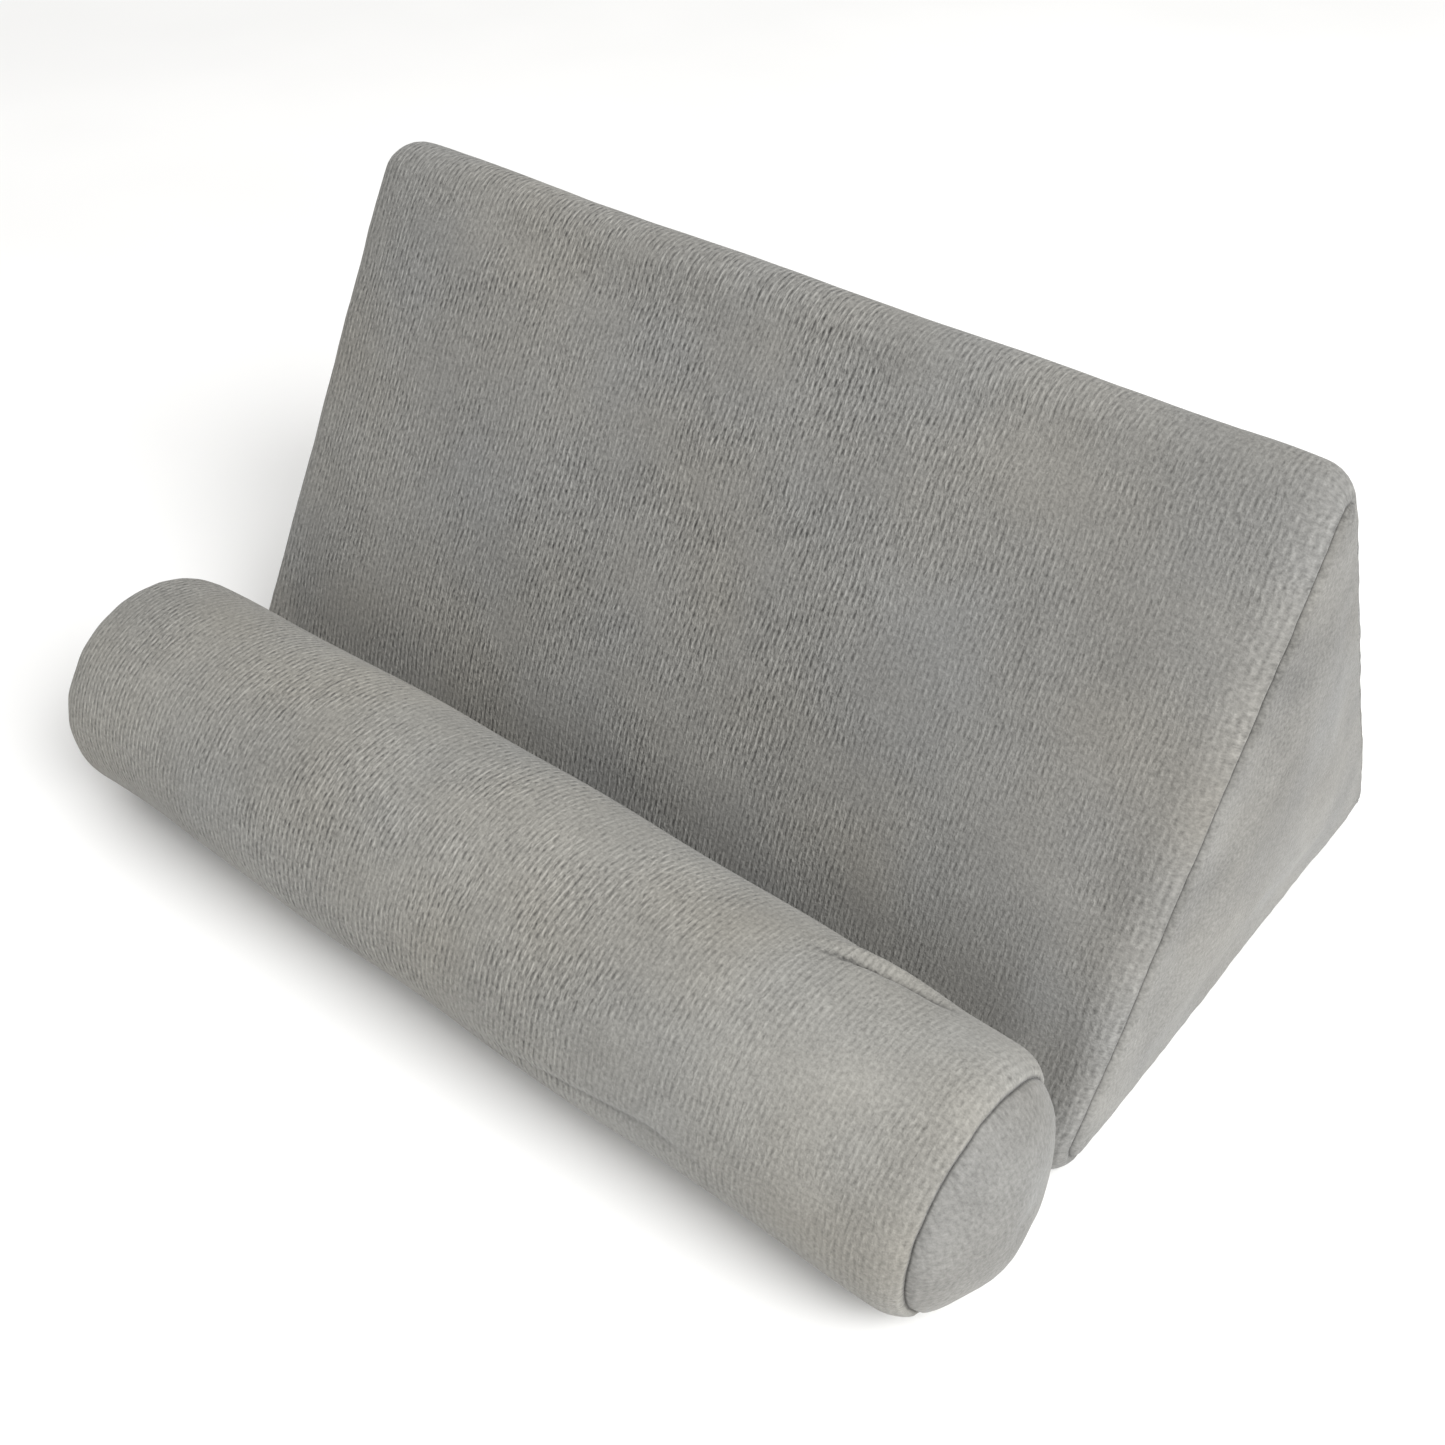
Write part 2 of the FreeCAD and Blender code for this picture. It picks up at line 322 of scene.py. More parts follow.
def make_pile_group():
    tree, given, out = new_group("pile", {
        "Cloth": (VECTOR, None), "Seam": (VECTOR, None), "Fold": (VECTOR, None),
        "Colour": (COLOUR, (0.3, 0.3, 0.3, 1)), "Ribs": (FLOAT, 1.0), "Fuzz": (FLOAT, 1.0),
        "Patches": (FLOAT, 1.0), "Strokes": (FLOAT, 1.0), "Shade Slope": (VECTOR, (0, 0, 0)),
    }, {"Color": COLOUR, "Height": FLOAT})
    cloth = given["Cloth"]
    seam = given["Seam"]
    x, y = parts_of(tree, cloth)

    # Ribs lean to and fro a little along their length.
    sway = noise_of(tree, cloth, 55.0, 1.0) - 0.5
    rib_turn = (sway * RIB_SWAY + x) / RIB_PITCH
    rib_wave = (rib_turn * FULL_TURN).math("SINE")

    # Dashes: noise squeezed across the ribs and drawn out along them breaks each rib into short lengths.
    along = y / DASH_LENGTH
    dash_lay = node(tree, "ShaderNodeCombineXYZ", {"X": rib_turn * 1.3, "Y": along}).outputs["Vector"]
    rib = rib_wave * noise_of(tree, dash_lay, 1.0, 2.0, 0.6).ramp(0.42, 0.62, 0.03, 0.62)

    # Between the ribs' dashes other fibres lean at random. Towards the right the ribs are rubbed away.
    loose_lay = node(tree, "ShaderNodeCombineXYZ", {"X": rib_turn * 2.3, "Y": along}).outputs["Vector"]
    rib = (noise_of(tree, loose_lay, 1.3, 1.0) - 0.5) * 1.15 + rib
    rubbed = x.ramp(RUBBED_FROM, RUBBED_TO, 1.0, 0.42)
    rib = rib * (noise_of(tree, cloth, 38.0, 3.0).ramp(0.36, 0.58, 0.42, 1.0) * rubbed) * given["Ribs"]

    # Fuzz: single fibres and small tufts.
    fuzz = (noise_of(tree, cloth, 980.0, 3.0, 0.72) - 0.5) * given["Fuzz"]

    # Brushed patches, small ones and large ones.
    small = noise_of(tree, cloth, 120.0, 3.0, 0.6) - 0.5
    patch = (small * 0.55 + (noise_of(tree, cloth, 21.0) - 0.5)) * given["Patches"]

    # Strokes beside the seam, and the shade in its valley.
    away = parts_of(tree, seam)[1].math("ABSOLUTE")
    near = away.ramp(0.4 * MM, STROKE_REACH, 1.0, 0.0) * noise_of(tree, seam, 130.0, 1.0).ramp(0.42, 0.62)
    stroke_lay = vector_of(tree, "MULTIPLY", seam, (900.0, 260.0, 0.0))
    stroke = (noise_of(tree, stroke_lay, 1.0, 2.0, 0.6) - 0.5) * near * given["Strokes"]
    valley = away.ramp(0.1 * MM, 0.6 * MM, 0.68, 1.0)

    # Painted shade in the bottom of each fold, and a painted highlight along the crest beside it.
    fold_across, fold_shading = parts_of(tree, given["Fold"])
    fold_bottom_shade = fold_across.math("ABSOLUTE").ramp(0.2 * MM, 1.6 * MM, -0.70, 0.0)
    crest_highlight = (fold_across - FOLD_CREST).math("ABSOLUTE").ramp(0.2 * MM, 2.2 * MM, 0.17, 0.0)
    folded = (fold_bottom_shade + crest_highlight) * fold_shading

    # Painted light and shade: the tone slopes steadily across a panel, lighter towards the right on the roll
    # and darker upwards on the ends and up the front.
    slope = vector_of(tree, "DOT_PRODUCT", cloth, given["Shade Slope"])

    # All of it together, as a factor on the colour and as a height in metres.
    tone = rib * RIB_TONE + 1.0 + folded + slope + fuzz * FUZZ_TONE + patch * PATCH_TONE
    shaded = vector_of(tree, "SCALE", given["Colour"], (tone + stroke * STROKE_TONE) * valley)

    # The dye is a little warmer in some places than in others.
    warmth = vector_of(tree, "SCALE", WARMER, noise_of(tree, cloth, 16.0) - 0.5)
    tint = vector_of(tree, "ADD", warmth, (1.0, 1.0, 1.0))
    feed(tree, out["Color"], vector_of(tree, "MULTIPLY", shaded, tint))
    feed(tree, out["Height"], rib * RIB_HEIGHT + fuzz * FUZZ_HEIGHT + stroke * STROKE_HEIGHT)
    return tree


pile_group = make_pile_group()

# %% [markdown]
# ## Cloth finishes
#
# The same grey cloth is cut into every panel. The pile lies one way on the sloping front, another way on the
# roll, and across the ribs on the ends, so each panel has its own strength of ribs. Each panel also has its
# own
# grey, which is painted light and shade: the one cloth is made darkest on the front and lightest on the ends.
# A constant sheen lifts the grey where the surface turns away, as short fibres do.

# %% Pile cloth materials


# The last setting paints light and shade into the grey, as a tone that slopes steadily across the panel.
def pile_cloth(name, colour, ribs=1.0, fuzz=1.0, patches=1.0, strokes=1.0, shade_slope=(0, 0)):
    material, tree, shader = new_material(name, {
        "Roughness": 0.92, "Specular IOR Level": 0.12, "Sheen Weight": 0.16, "Sheen Roughness": 0.45})
    settings = {"Colour": (*colour, 1), "Ribs": ribs, "Fuzz": fuzz, "Patches": patches, "Strokes": strokes,
                "Shade Slope": (*shade_slope, 0)}
    for label in ("Cloth", "Seam", "Fold"):
        settings[label] = node(tree, "ShaderNodeUVMap", uv_map=label.lower()).outputs["UV"]
    pile = node(tree, "ShaderNodeGroup", settings, node_tree=pile_group)
    feed(tree, shader.inputs["Base Color"], pile.outputs["Color"])
    bump(tree, shader, pile.outputs["Height"])
    return material


# Each panel's grey is painted light and shade on the one cloth: darkest on the front, lightest on the ends.
front_cloth = pile_cloth("front_cloth", (0.230, 0.226, 0.213), strokes=2.0, shade_slope=(0, -0.35))
roll_cloth = pile_cloth("roll_cloth", (0.246, 0.240, 0.221), ribs=0.9, patches=1.5, shade_slope=(0.35, 0))
end_cloth = pile_cloth("end_cloth", (0.250, 0.246, 0.232), ribs=0.3, fuzz=0.9, patches=2.1, shade_slope=(0, -2.2))
base_cloth = pile_cloth("base_cloth", (0.235, 0.231, 0.218), ribs=0.8, patches=0.6)
print("pile group:", len(pile_group.nodes), "nodes, shared by", pile_group.users, "finishes")

# %% [markdown]
# ## Other finishes
#
# The floor is nearly white. Foam is a mass of burst bubbles. The zip's tapes have a slanting weave, its
# coils and slider are smooth and a little worn, and the label is satin with nothing on it.

# %% Wear and weave groups, and the other materials


def make_wear_group():
    """Rubbed colour and uneven gloss for painted or moulded things."""
    tree, given, out = new_group("wear", {
        "Colour": (COLOUR, (0.2, 0.2, 0.2, 1)), "Rubbed": (COLOUR, (0.5, 0.5, 0.5, 1)),
        "Scale": (FLOAT, 900.0), "Gloss": (FLOAT, 0.35),
    }, {"Color": COLOUR, "Roughness": FLOAT, "Height": FLOAT})
    place = node(tree, "ShaderNodeTexCoord").outputs["Object"]
    grain = noise_of(tree, place, given["Scale"], 4.0, 0.6)
    mixed = node(tree, "ShaderNodeMix", {"Factor": grain.ramp(0.55, 0.74)}, data_type="RGBA")
    feed(tree, mixed.inputs[6], given["Colour"])
    feed(tree, mixed.inputs[7], given["Rubbed"])
    feed(tree, out["Color"], mixed.outputs[2])
    feed(tree, out["Roughness"], noise_of(tree, place, 240.0) * 0.22 + given["Gloss"])
    feed(tree, out["Height"], grain * (0.02 * MM))
    return tree


def make_weave_group():
    """Two sets of threads that cross, as a tone from 0 to 1."""
    tree, given, out = new_group("weave", {
        "Cloth": (VECTOR, None), "Pitch": (FLOAT, 0.0005), "Slant": (FLOAT, 0.0),
    }, {"Tone": FLOAT})
    x, y = parts_of(tree, given["Cloth"])
    warp, weft = [((other * given["Slant"] + own) / given["Pitch"] * FULL_TURN).math("SINE")
                  for own, other in ((x, y), (y, x))]
    feed(tree, out["Tone"], warp * weft * 0.5 + 0.5)
    return tree


wear_group = make_wear_group()
weave_group = make_weave_group()


def worn_material(name, colour, rubbed, gloss, metallic=0.0):
    material, tree, shader = new_material(name, {"Metallic": metallic})
    wear = node(tree, "ShaderNodeGroup", {"Colour": (*colour, 1), "Rubbed": (*rubbed, 1), "Gloss": gloss},
                node_tree=wear_group)
    feed(tree, shader.inputs["Base Color"], wear.outputs["Color"])
    feed(tree, shader.inputs["Roughness"], wear.outputs["Roughness"])
    bump(tree, shader, wear.outputs["Height"], 0.6)
    return material


def woven_material(name, colour, pitch, slant, depth, roughness, sheen):
    material, tree, shader = new_material(name, {"Roughness": roughness, "Sheen Weight": sheen})
    cloth = node(tree, "ShaderNodeUVMap", uv_map="cloth").outputs["UV"]
    weave = node(tree, "ShaderNodeGroup", {"Cloth": cloth, "Pitch": pitch, "Slant": slant},
                 node_tree=weave_group)
    threads = Value(tree, weave.outputs["Tone"])
    tone = noise_of(tree, cloth, 160.0, 3.0) * 0.16 + (threads * 0.35 + 0.72)
    feed(tree, shader.inputs["Base Color"], vector_of(tree, "SCALE", colour, tone))
    bump(tree, shader, threads * depth)
    return material


def foam_material():
    material, tree, shader = new_material("foam", {"Roughness": 0.95})
    place = node(tree, "ShaderNodeTexCoord").outputs["Object"]
    bubbles = node(tree, "ShaderNodeTexVoronoi", {"Vector": place, "Scale": 1400.0})
    cells = Value(tree, bubbles.outputs["Distance"])
    colour = vector_of(tree, "SCALE", (0.86, 0.83, 0.72), cells * 0.30 + 0.78)
    feed(tree, shader.inputs["Base Color"], colour)
    bump(tree, shader, cells * (-0.3 * MM))
    return material


def floor_material():
    material, tree, shader = new_material("pale_floor", {"Roughness": 0.9})
    place = node(tree, "ShaderNodeTexCoord").outputs["Object"]
    tone = noise_of(tree, place, 6.0).ramp(0.3, 0.7, 0.90, 0.93)
    feed(tree, shader.inputs["Base Color"], vector_of(tree, "SCALE", (1.0, 1.0, 0.995), tone))
    return material


foam = foam_material()
coil_plastic = worn_material("coil_plastic", (0.16, 0.16, 0.155), (0.26, 0.26, 0.25), 0.30)
painted_zinc = worn_material("painted_zinc", (0.27, 0.27, 0.262), (0.55, 0.55, 0.54), 0.26, 0.7)
zip_tape_weave = woven_material("zip_tape_weave", (0.21, 0.207, 0.195), 0.7 * MM, 0.5, 0.10 * MM, 0.8, 0.1)
sewing_thread = woven_material("sewing_thread", (0.27, 0.265, 0.25), 0.4 * MM, 0.9, 0.06 * MM, 0.7, 0.15)
satin = woven_material("satin", (0.86, 0.855, 0.83), 0.45 * MM, 0.15, 0.03 * MM, 0.42, 0.2)
floor.data.materials.append(floor_material())
print("other groups:", len(wear_group.nodes), "and", len(weave_group.nodes), "nodes")

# %% [markdown]
# ## Drawing a skin band by band
#
# Both covers are long shapes with one outline all the way, closed at each end. A primitive such as a box or
# cylinder would need its edges cut again for every seam. Instead a ring of points is drawn out along X, band
# by band. Each point knows which way is outwards, so a band can step along, inwards, or both, which rounds
# the ends. Only the right half is drawn, and it is mirrored to make the left half.
#
# Each point also adds up how far it has come from the middle, the "span", because the seams and the pile
# need distances measured over the cloth.

# %% The skin helpers
UPRIGHT = Matrix(((0, 0, 1, 0), (1, 0, 0, 0), (0, 1, 0, 0), (0, 0, 0, 1)))
LAST_RING = 0.004
CROWDED_RING = 0.35
CROWDED_GAP = 0.25 * MM


def start_skin(radius, count):
    """A bmesh with one ring of edges round the X axis, and the layers that its points carry."""
    bm = bmesh.new()
    outward = bm.verts.layers.float_vector.new("outward")
    bm.verts.layers.float.new("span")
    ring = bmesh.ops.create_circle(bm, segments=count, radius=radius, matrix=UPRIGHT)["verts"]
    for v in ring:
        v[outward] = v.co.normalized()
    return bm


def draw_out(bm, edges):
    """Draws new faces from the edges. Returns the new points, still at the old ones, and the new edges."""
    made = bmesh.ops.extrude_edge_only(bm, edges=edges)["geom"]
    return ([v for v in made if isinstance(v, bmesh.types.BMVert)],
            [e for e in made if isinstance(e, bmesh.types.BMEdge)])


def draw_band(bm, rim, step, inward):
    """One more band of faces: step along X and inward towards the middle. Returns the new rim."""
    outward = bm.verts.layers.float_vector["outward"]
    span = bm.verts.layers.float["span"]
    verts, rim = draw_out(bm, rim)
    for v in verts:
        v.co += Vector((step, 0, 0)) - v[outward] * inward
        v[span] += math.hypot(step, inward)
    return rim


def draw_disc(bm, rim, middle, depth, rings, crown):
    """Closes the end: rings that shrink to the middle, bulging by crown, and one point to finish."""
    span = bm.verts.layers.float["span"]
    size = 1.0
    crowded = []
    for k in range(1, rings + 1):
        smaller = max(1 - k / rings, LAST_RING)
        verts, rim = draw_out(bm, rim)
        away = Matrix.Translation(-middle)
        bmesh.ops.scale(bm, verts=verts, vec=(1, smaller / size, smaller / size), space=away)
        rise = crown * (size ** 2 - smaller ** 2)
        bmesh.ops.translate(bm, verts=verts, vec=(rise, 0, 0))
        for v in verts:
            v[span] += depth / rings
        size = smaller
        if size < CROWDED_RING:
            crowded += verts
    full_span = verts[0][span]
    tip = Vector((verts[0].co.x, middle.y, middle.z))
    bmesh.ops.pointmerge(bm, verts=verts, merge_co=tip)
    min(bm.verts, key=lambda v: (v.co - tip).length)[span] = full_span
    bmesh.ops.remove_doubles(bm, verts=[v for v in crowded if v.is_valid], dist=CROWDED_GAP)


def both_halves(bm):
    """Mirrors the right half and turns every face outwards."""
    everything = bm.verts[:] + bm.edges[:] + bm.faces[:]
    bmesh.ops.mirror(bm, geom=everything, merge_dist=1e-6, axis="X")
    bmesh.ops.recalc_face_normals(bm, faces=bm.faces[:])


# %% [markdown]
# ## The wedge's skin
#
# The outline is a small circle whose three thirds are pulled apart, one to each corner. The long edges
# between them become the flats. That gives true round corners with no bevel to tune. Two more cuts low on
# the back slope mark the lips of the zip. Over the rounded edge at each end the bands crowd towards the seam,
# by the steps in degrees in SEAM_STEPS, because the cloth bends most there.

# %% Wedge skin
WEDGE_STEP = 2.6 * MM
CORNER_POINTS = 25
ZIP_RISE = 21.0 * MM
ZIP_SLOT = 7.2 * MM
SEAM_ANGLE = math.radians(68)
SEAM_STEPS = [2.2, 4.6, 7.5, 11, 15, 20, 27, 36, 47, 58]
STEPS_PAST_SEAM = 6
END_CROWN = 0.5 * MM

rear_corner = Vector((0, heart.y + wedge_side / 2, 0))
zip_up = Vector((0, -math.cos(CORNER), math.sin(CORNER)))
zip_out = Vector((0, math.sin(CORNER), math.cos(CORNER)))
corner_ways = [Vector((0, math.sin(turn), math.cos(turn))) for turn in (0, 2 * CORNER, -2 * CORNER)]


def wedge_ring(radius, reach, step):
    """The wedge's rounded three-cornered outline, as a skin with one ring."""
    bm = start_skin(radius, 3 * CORNER_POINTS)
    groups = [[v for v in bm.verts if max(corner_ways, key=v.co.dot) is way] for way in corner_ways]
    for way, group in zip(corner_ways, groups):
        bmesh.ops.translate(bm, verts=group, vec=heart + way * reach)
    flats = [e for e in bm.edges if e.calc_length() > 3 * radius]
    bmesh.ops.subdivide_edges(bm, edges=flats, cuts=round(flat_length / step))
    return bm


def cut_zip_lips(bm):
    """Adds a point on the back slope at each lip of the zip."""
    outward = bm.verts.layers.float_vector["outward"]
    for rise in (ZIP_RISE - ZIP_SLOT / 2, ZIP_RISE + ZIP_SLOT / 2):
        slope = [e for e in bm.edges if all(v[outward].dot(zip_out) > 0.99 for v in e.verts)]
        points = [v for v in bm.verts if v[outward].dot(zip_out) > 0.99]
        bmesh.ops.bisect_plane(bm, geom=slope + points, plane_co=rear_corner + zip_up * rise,
                               plane_no=zip_up)


def draw_round(bm, rim, radius, angles):
    """Bands that turn the skin from along X to inwards, through the given angles of a quarter circle."""
    before = 0.0
    for angle in angles:
        rim = draw_band(bm, rim, radius * (math.sin(angle) - math.sin(before)),
                        radius * (math.cos(before) - math.cos(angle)))
        before = angle
    return rim


bm = wedge_ring(EDGE, corner_reach, WEDGE_STEP)
cut_zip_lips(bm)
rim = bm.edges[:]
straight = wedge_half - EDGE
bands = round(straight / WEDGE_STEP)
for k in range(bands):
    rim = draw_band(bm, rim, straight / bands, 0)
turns = [SEAM_ANGLE - math.radians(x) for x in SEAM_STEPS[::-1]] + [SEAM_ANGLE]
turns += [SEAM_ANGLE + math.radians(x) for x in SEAM_STEPS[:STEPS_PAST_SEAM]]
rim = draw_round(bm, rim, EDGE, turns)
disc_depth = heart.z - EDGE * (1 - math.cos(turns[-1]))
draw_disc(bm, rim, heart, disc_depth, round(disc_depth / WEDGE_STEP), END_CROWN)
both_halves(bm)
wedge_skin = object_from(bm, "wedge_skin")
wedge_seam_span = straight + EDGE * SEAM_ANGLE
print("wedge skin:", len(wedge_skin.data.polygons), "faces")

# %% [markdown]
# ## The roll's skin
#
# The roll is a plain ring drawn along X. The barrel narrows a little towards its ends, a round shoulder
# carries the cloth in to the seam, and the end disc bulges beyond it.

# %% Roll skin
ROLL_STEP = 2.6 * MM
ROLL_POINTS = 160
ROLL_TAPER = 1.6 * MM
SHOULDER = 8.0 * MM
SHOULDER_DROP = 3.4 * MM
SHOULDER_BEND = 0.84
SHOULDER_STEPS = [0.25, 0.45, 0.6, 0.72, 0.81, 0.88, 0.94, 1.0]
DOME = 10.0 * MM
DOME_BEND = 2.8
DOME_STEPS = [0, 0.012, 0.028, 0.05, 0.08, 0.12, 0.18, 0.25, 0.33, 0.42, 0.51, 0.60, 0.69, 0.78]

barrel_half = roll_seam_x - SHOULDER


def roll_outline(x):
    """The radius of the barrel and its shoulder at a distance from the middle."""
    taper = ROLL_TAPER * min(x / barrel_half, 1) ** 2
    past = max(x - barrel_half, 0) / SHOULDER
    turned = (1 - math.sqrt(1 - SHOULDER_BEND * past ** 2)) / (1 - math.sqrt(1 - SHOULDER_BEND))
    return roll_radius - taper - SHOULDER_DROP * turned


def dome_outline(t):
    """The end disc's bulge: t goes from 0 at the seam to 1 at the middle, as (forward, inward) shares."""
    return 1 - (1 - t) ** DOME_BEND, t


bm = start_skin(roll_radius, ROLL_POINTS)
bmesh.ops.translate(bm, verts=bm.verts[:], vec=roll_heart)
rim = bm.edges[:]
bands = round(barrel_half / ROLL_STEP)
stations = [barrel_half * k / bands for k in range(bands + 1)]
stations += [barrel_half + SHOULDER * t for t in SHOULDER_STEPS]
for x, ahead in zip(stations, stations[1:]):
    rim = draw_band(bm, rim, ahead - x, roll_outline(x) - roll_outline(ahead))
seam_radius = roll_outline(roll_seam_x)
roll_seam_span = max(v[bm.verts.layers.float["span"]] for v in bm.verts)
for t, ahead in zip(DOME_STEPS, DOME_STEPS[1:]):
    (forward, inward), (next_forward, next_inward) = dome_outline(t), dome_outline(ahead)
    rim = draw_band(bm, rim, DOME * (next_forward - forward), seam_radius * (next_inward - inward))
forward, inward = dome_outline(DOME_STEPS[-1])
draw_disc(bm, rim, roll_heart, seam_radius * (1 - inward), 4, DOME * (1 - forward))
both_halves(bm)
roll_skin = object_from(bm, "roll_skin")
print("roll skin:", len(roll_skin.data.polygons), "faces, seam radius %.1f mm" % (seam_radius / MM))

# %% [markdown]
# ## Filling the covers
#
# A sewn cover is never quite flat: the foam is cut a little large and pushes the cloth out, most in the
# middle of each side and least at the corners. Blender's cloth does this with pressure and no gravity. It
# works best on even quads, so a rough voxel copy of the skin is filled, and the fine skin then follows the
# copy's nearest points. A limit stops any point from moving further than real foam would push it.

# %% Filling helpers
FILL_PRESSURE = 4.0
FILL_FRAMES = 20
NEIGHBOURS = 8
POLE_REACH = 4 * MM
ON_TABLE = 0.3 * MM

def rows_of(data, field):
    """A three-part value of every entry, as rows."""
    rows = np.zeros(len(data) * 3)
    data.foreach_get(field, rows)
    return rows.reshape(-1, 3)


def points_of(thing):
    """The points of an object's mesh as rows of x, y, z."""
    return rows_of(thing.data.vertices, "co")


def put_points(thing, at):
    thing.data.vertices.foreach_set("co", np.asarray(at).ravel())
    thing.data.update()


def outwards(thing):
    """The direction away from the surface at each point."""
    return rows_of(thing.data.vertices, "normal")


def values_of(thing, name):
    found = thing.data.attributes[name].data
    values = np.zeros(len(found))
    found.foreach_get("value", values)
    return values


def keep_rest(thing, at):
    """Remembers where the points were before filling, for measures taken over the cloth."""
    found = thing.data.attributes.new("rest", "FLOAT_VECTOR", "POINT")
    found.data.foreach_set("vector", np.asarray(at).ravel())


def rest_of(thing):
    return rows_of(thing.data.attributes["rest"].data, "vector")


def fill_out(skin, voxel, limit):
    """Swells the skin as its filling would, by cloth on a rough copy. Returns how far points moved."""
    rough = bpy.data.objects.new("rough", skin.data.copy())
    scene.collection.objects.link(rough)
    remesh = rough.modifiers.new("even quads", "REMESH")
    remesh.mode = "VOXEL"
    remesh.voxel_size = voxel
    shell = bpy.data.meshes.new_from_object(rough.evaluated_get(bpy.context.evaluated_depsgraph_get()))
    rough.modifiers.clear()
    rough.data = shell
    before = points_of(rough)
    cloth = rough.modifiers.new("filling", "CLOTH")
    cloth.settings.quality = 6
    cloth.settings.use_pressure = True
    cloth.settings.uniform_pressure_force = FILL_PRESSURE
    cloth.settings.effector_weights.gravity = 0
    cloth.point_cache.frame_end = FILL_FRAMES
    for step in range(1, FILL_FRAMES + 1):
        scene.frame_set(step)
    after = points_of(rough.evaluated_get(bpy.context.evaluated_depsgraph_get()))
    moved = after - before
    far = np.linalg.norm(moved, axis=1, keepdims=True)
    moved *= limit * np.tanh(far / limit) / np.maximum(far, 1e-9)
    tree = KDTree(len(before))
    for i, at in enumerate(before):
        tree.insert(at, i)
    tree.balance()
    carried = np.zeros((len(skin.data.vertices), 3))
    for i, at in enumerate(points_of(skin)):
        near = tree.find_n(at, NEIGHBOURS)
        share = np.array([math.exp(-(gap / (1.2 * voxel)) ** 2) for _, _, gap in near])
        carried[i] = share @ moved[[j for _, j, _ in near]] / share.sum()
    bpy.data.objects.remove(rough)
    scene.frame_set(1)
    return carried


def calm_pole(rest, at, heart):
    """Evens out the point where all the bands of an end disc meet, which is too fine to shape well."""
    from_heart = np.hypot(rest[:, 1] - heart.y, rest[:, 2] - heart.z)
    for side in (-1, 1):
        ends = (rest[:, 0] * side > wedge_half / 2) & (from_heart < 3.5 * POLE_REACH)
        ring = ends & (from_heart > POLE_REACH)
        share = fade(from_heart[ends], POLE_REACH)
        at[ends, 0] += share * (at[ring, 0].mean() - at[ends, 0])
    return at


def finish_skin(skin, rest, at, heart):
    """Keeps the shaped points off the table, evens out the ends and writes the points back."""
    at[:, 2] = np.maximum(at[:, 2], ON_TABLE)
    put_points(skin, calm_pole(rest, at, heart))
    print("%s filled by up to %.2f mm" % (skin.name, np.linalg.norm(at - rest, axis=1).max() / MM))


def wander(at, size, seed):
    """Smooth noise from about -1 to 1 at each point, with swells about size across."""
    shift = Vector((7.3 * seed, 3.1 * seed, 5.7 * seed))
    return np.array([noise.noise(Vector(p) / size + shift) for p in at])


def fade(distance, reach):
    """1 at no distance, falling smoothly to 0 at about twice the reach."""
    return np.exp(-(distance / reach) ** 2)


def seam_valley(from_seam, depth):
    """How far a seam draws the cloth in: a narrow valley in the middle of a wide dip."""
    return depth * fade(from_seam, 0.75 * MM) + 0.3 * MM * fade(from_seam, 4.0 * MM)


# %% [markdown]
# ## Shaping the wedge's cover
#
# After filling come the things that sewing and use do. The corners at both ends pull in, most at the top,
# because cloth can't reach the tip of a foam corner. Each end seam is a narrow valley, puckered every few
# millimetres and shallower near the top. Low on the face, the roll and the tablets behind it have pressed a
# shallow groove. Low at the back the zip's ends make small dents. The base lies flat on the table.

# %% Shape the wedge's cover
WEDGE_LIMIT = 1.6 * MM
PLUMP = 1.7 * MM
ZIP_HOLD = 12 * MM
GROOVE_DEPTH = 4.2 * MM
GROOVE_RISE = 24 * MM
GROOVE_WIDTH = 17 * MM
GROOVE_END = 126 * MM
GROOVE_FADE = 13 * MM
FOOT_SHARP = 0.6 * MM
CORNER_PULLS = (1.6 * MM, 1.0 * MM, 0.6 * MM)
CORNER_WIDTH = 17 * MM
VALLEY_EASE = 0.85
EASE_WIDTH = 14 * MM
PUCKER = 0.22 * MM
ZIP_END = 137 * MM
ZIP_DENT = 1.9 * MM


def outline_place(rest):
    """How far round the wedge's outline each point lies, from the front seam up the face and round."""
    best = np.full(len(rest), 1e9)
    place = np.zeros(len(rest))
    ways = [corner_ways[2], corner_ways[0], corner_ways[1]]
    for k in range(3):
        start = np.array(heart + ways[k] * corner_reach)
        run = np.array(heart + ways[(k + 1) % 3] * corner_reach) - start
        flat = rest - start
        flat[:, 0] = 0
        share = np.clip(flat @ run / (run @ run), 0, 1)
        off = flat - share[:, None] * run
        gap = np.linalg.norm(off, axis=1)
        out = np.array([0, -run[2], run[1]]) / np.linalg.norm(run)
        turn = np.arctan2(off @ run / np.linalg.norm(run), np.abs(off @ out) + 1e-12)
        here = k * (flat_length + EDGE * 2 * CORNER) + share * flat_length + EDGE * (turn + CORNER)
        closer = gap < best - 1e-9
        place[closer] = here[closer]
        best = np.minimum(best, gap)
    return place


def near_corner(rest, way, reach):
    """1 at a corner of the wedge's right or left end, falling to 0 at a distance from it."""
    tip = np.array(heart + way * (corner_reach + 2 * EDGE))
    gap = np.hypot(np.hypot(rest[:, 1] - tip[1], rest[:, 2] - tip[2]), wedge_half - np.abs(rest[:, 0]))
    return fade(gap, reach)


rest = points_of(wedge_skin)
keep_rest(wedge_skin, rest)
span = values_of(wedge_skin, "span")
place = outline_place(rest)
away = outwards(wedge_skin)
rise = (rest - np.array(rear_corner)) @ np.array(zip_up)
on_back = away @ np.array(zip_out) > 0.2
held_by_zip = fade(rise - ZIP_RISE, ZIP_HOLD) * on_back
at = rest + away * (PLUMP * (1 - held_by_zip))[:, None]
at += fill_out(wedge_skin, 5 * MM, WEDGE_LIMIT) * (1 - held_by_zip)[:, None]

